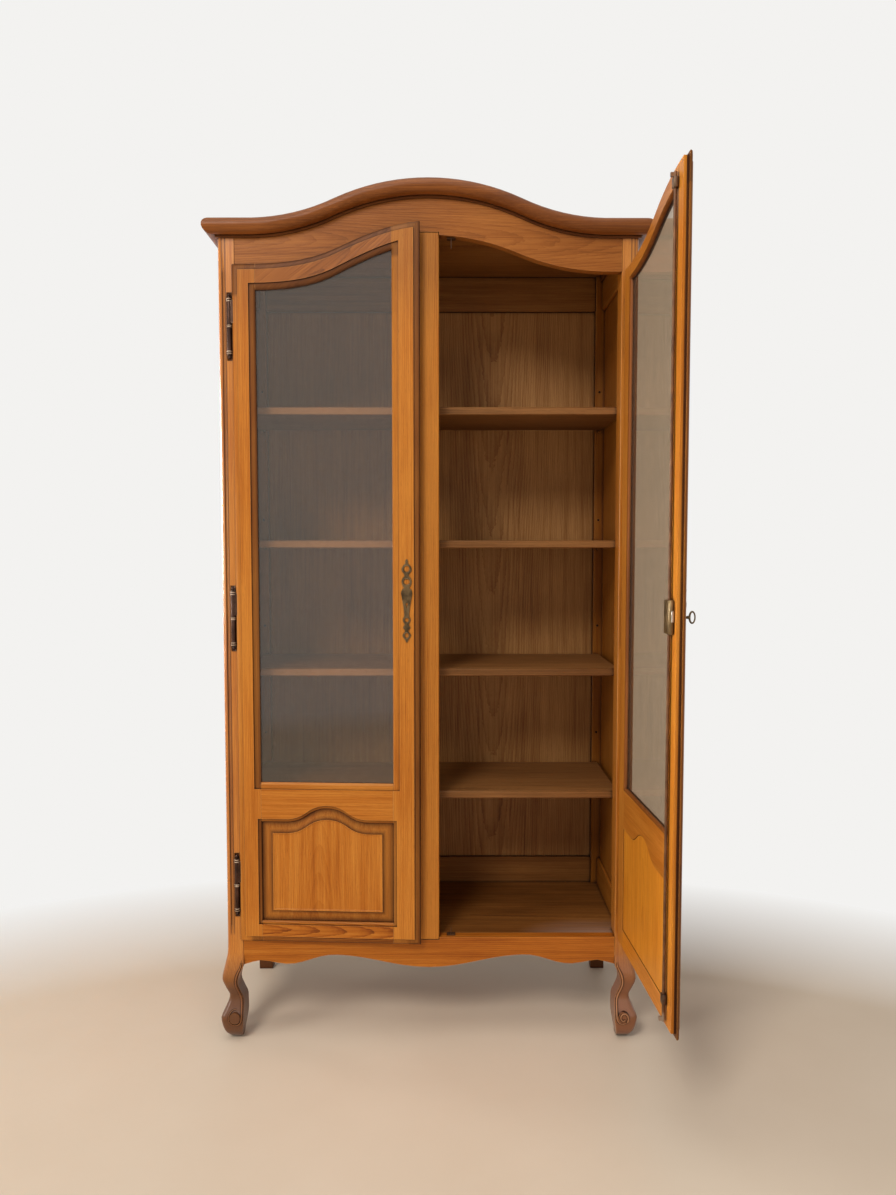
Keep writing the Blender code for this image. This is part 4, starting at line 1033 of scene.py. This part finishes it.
def key_piece():
    """The key: an oval bow that thins to its tip, two collars, and a round shank."""
    bm = bmesh.new()
    bow = []
    for a in circle(40):
        wire = BOW_WIRE * (0.9 + 0.15 * math.cos(a))
        row = []
        for b in circle(10):
            along = (BOW_LONG - BOW_WIRE + wire * math.cos(b)) * math.cos(a)
            up = (BOW_TALL - BOW_WIRE + wire * math.cos(b)) * math.sin(a)
            row.append(bm.verts.new((PLATE_X + wire * math.sin(b), BOW_TIP + BOW_LONG + along, KEY_Z + up)))
        bow.append(row)
    skin(bm, bow, joined=True)
    start = BOW_TIP + 2 * BOW_LONG - BOW_WIRE
    profile = [(start + at, radius) for at, radius in COLLARS]
    profile.append((KEY_END, COLLARS[-1][1]))
    shank = []
    for y, radius in profile:
        shank.append([bm.verts.new((PLATE_X + radius * math.cos(a), y, KEY_Z + radius * math.sin(a)))
                      for a in circle(16)])
    skin(bm, shank)
    bm.faces.new(shank[0])
    bm.faces.new(shank[-1])
    bmesh.ops.recalc_face_normals(bm, faces=bm.faces)
    bmesh.ops.transform(bm, matrix=REST["right"], verts=bm.verts)
    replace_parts(mesh_piece("key_fine", bm, "key", BRONZE, SMALL_SHARP), "key")


lock_bolt()
key_piece()

# Floor, lights and backdrop

BACKDROP = srgb(243, 242, 240)
SKYLIGHT = (1.0, 0.97, 0.93, 1.0)
FLOOR_HALF = 9.0
FLOOR_Z = -0.0004
FLOOR_COLOURS = ((0.3, srgb(240, 222, 200)), (0.7, srgb(236, 217, 194)))
# The floor fades into the backdrop between two distances from a middle in front of the cabinet
FADE = (2.15, 2.85)
FADE_SHIFT = (0.0, 1.9, 0.0)
FADE_SCALE = (0.95, 1.0, 1.0)


def seen_rays(tree):
    """1 for rays that show the background: from the camera, and through gloss and glass."""
    rays = tree.nodes.new("ShaderNodeLightPath")
    total = rays.outputs["Is Camera Ray"]
    for label in ("Is Glossy Ray", "Is Transmission Ray"):
        step = tree.nodes.new("ShaderNodeMath")
        step.operation = "MAXIMUM"
        tree.links.new(total, step.inputs[0])
        tree.links.new(rays.outputs[label], step.inputs[1])
        total = step.outputs[0]
    return total


floor_mesh = bpy.data.meshes.new("floor")
corners = ((-1, -1), (1, -1), (1, 1), (-1, 1))
floor_mesh.from_pydata([(x * FLOOR_HALF, y * FLOOR_HALF, FLOOR_Z) for x, y in corners], [], [(0, 1, 2, 3)])
floor = bpy.data.objects.new("floor", floor_mesh)
bpy.context.scene.collection.objects.link(floor)
plain = Look("pale_floor")
speck = plain.noise(plain.where(), 3.0, 4.0)
floor_mesh.materials.append(plain.set(Base_Color=plain.ramp(speck, *FLOOR_COLOURS), Roughness=0.6))
glow = plain.add("Emission", Color=BACKDROP, Strength=1.0)
away = plain.vector("LENGTH", plain.place(plain.where(), FADE_SCALE, FADE_SHIFT), out=1)
fade = plain.times(plain.spread(away, *FADE, 0.0, 1.0), seen_rays(plain.tree))
output = plain.tree.nodes["Material Output"]
plain.tree.links.new(mixed(plain.tree, fade, plain.shader.outputs[0], glow), output.inputs["Surface"])

world = bpy.data.worlds.new("studio")
bpy.context.scene.world = world
world.use_nodes = True
web = world.node_tree
web.nodes.clear()
shown = web.nodes.new("ShaderNodeBackground")
shown.inputs["Color"].default_value = BACKDROP
lit = web.nodes.new("ShaderNodeBackground")
lit.inputs["Color"].default_value = SKYLIGHT
lit.inputs["Strength"].default_value = 0.2
sky = web.nodes.new("ShaderNodeOutputWorld")
web.links.new(mixed(web, seen_rays(web), lit.outputs[0], shown.outputs[0]), sky.inputs["Surface"])


def lamp(name, place, target, size, power, colour, spread=180):
    """A round lamp that looks at a target and spreads by an angle in degrees."""
    light = bpy.data.lights.new(name, "AREA")
    light.shape = "DISK"
    light.size = size
    light.energy = power
    light.color = colour
    light.spread = math.radians(spread)
    made = bpy.data.objects.new(name, light)
    bpy.context.scene.collection.objects.link(made)
    made.location = place
    made.rotation_euler = (Vector(target) - Vector(place)).to_track_quat("-Z", "Y").to_euler()


lamp("key", (-2.0, -5.0, 5.0), (0, 0, 0.95), 2.0, 185, (1.0, 0.96, 0.9))
lamp("side", (-3.2, -1.8, 1.2), (0, 0, 0.9), 1.2, 32, (1.0, 0.96, 0.9))
lamp("top", (-0.3, -1.3, 4.3), (0, -0.6, 0.0), 2.4, 34, (1.0, 0.97, 0.93))
lamp("window", (-2.6, 0.8, 1.5), (-0.5, -0.2, 1.25), 1.0, 9, (1.0, 0.98, 0.95), 42)
lamp("fill", (1.6, -4.0, 1.1), (0, 0, 0.9), 2.8, 10, (1.0, 0.97, 0.93))
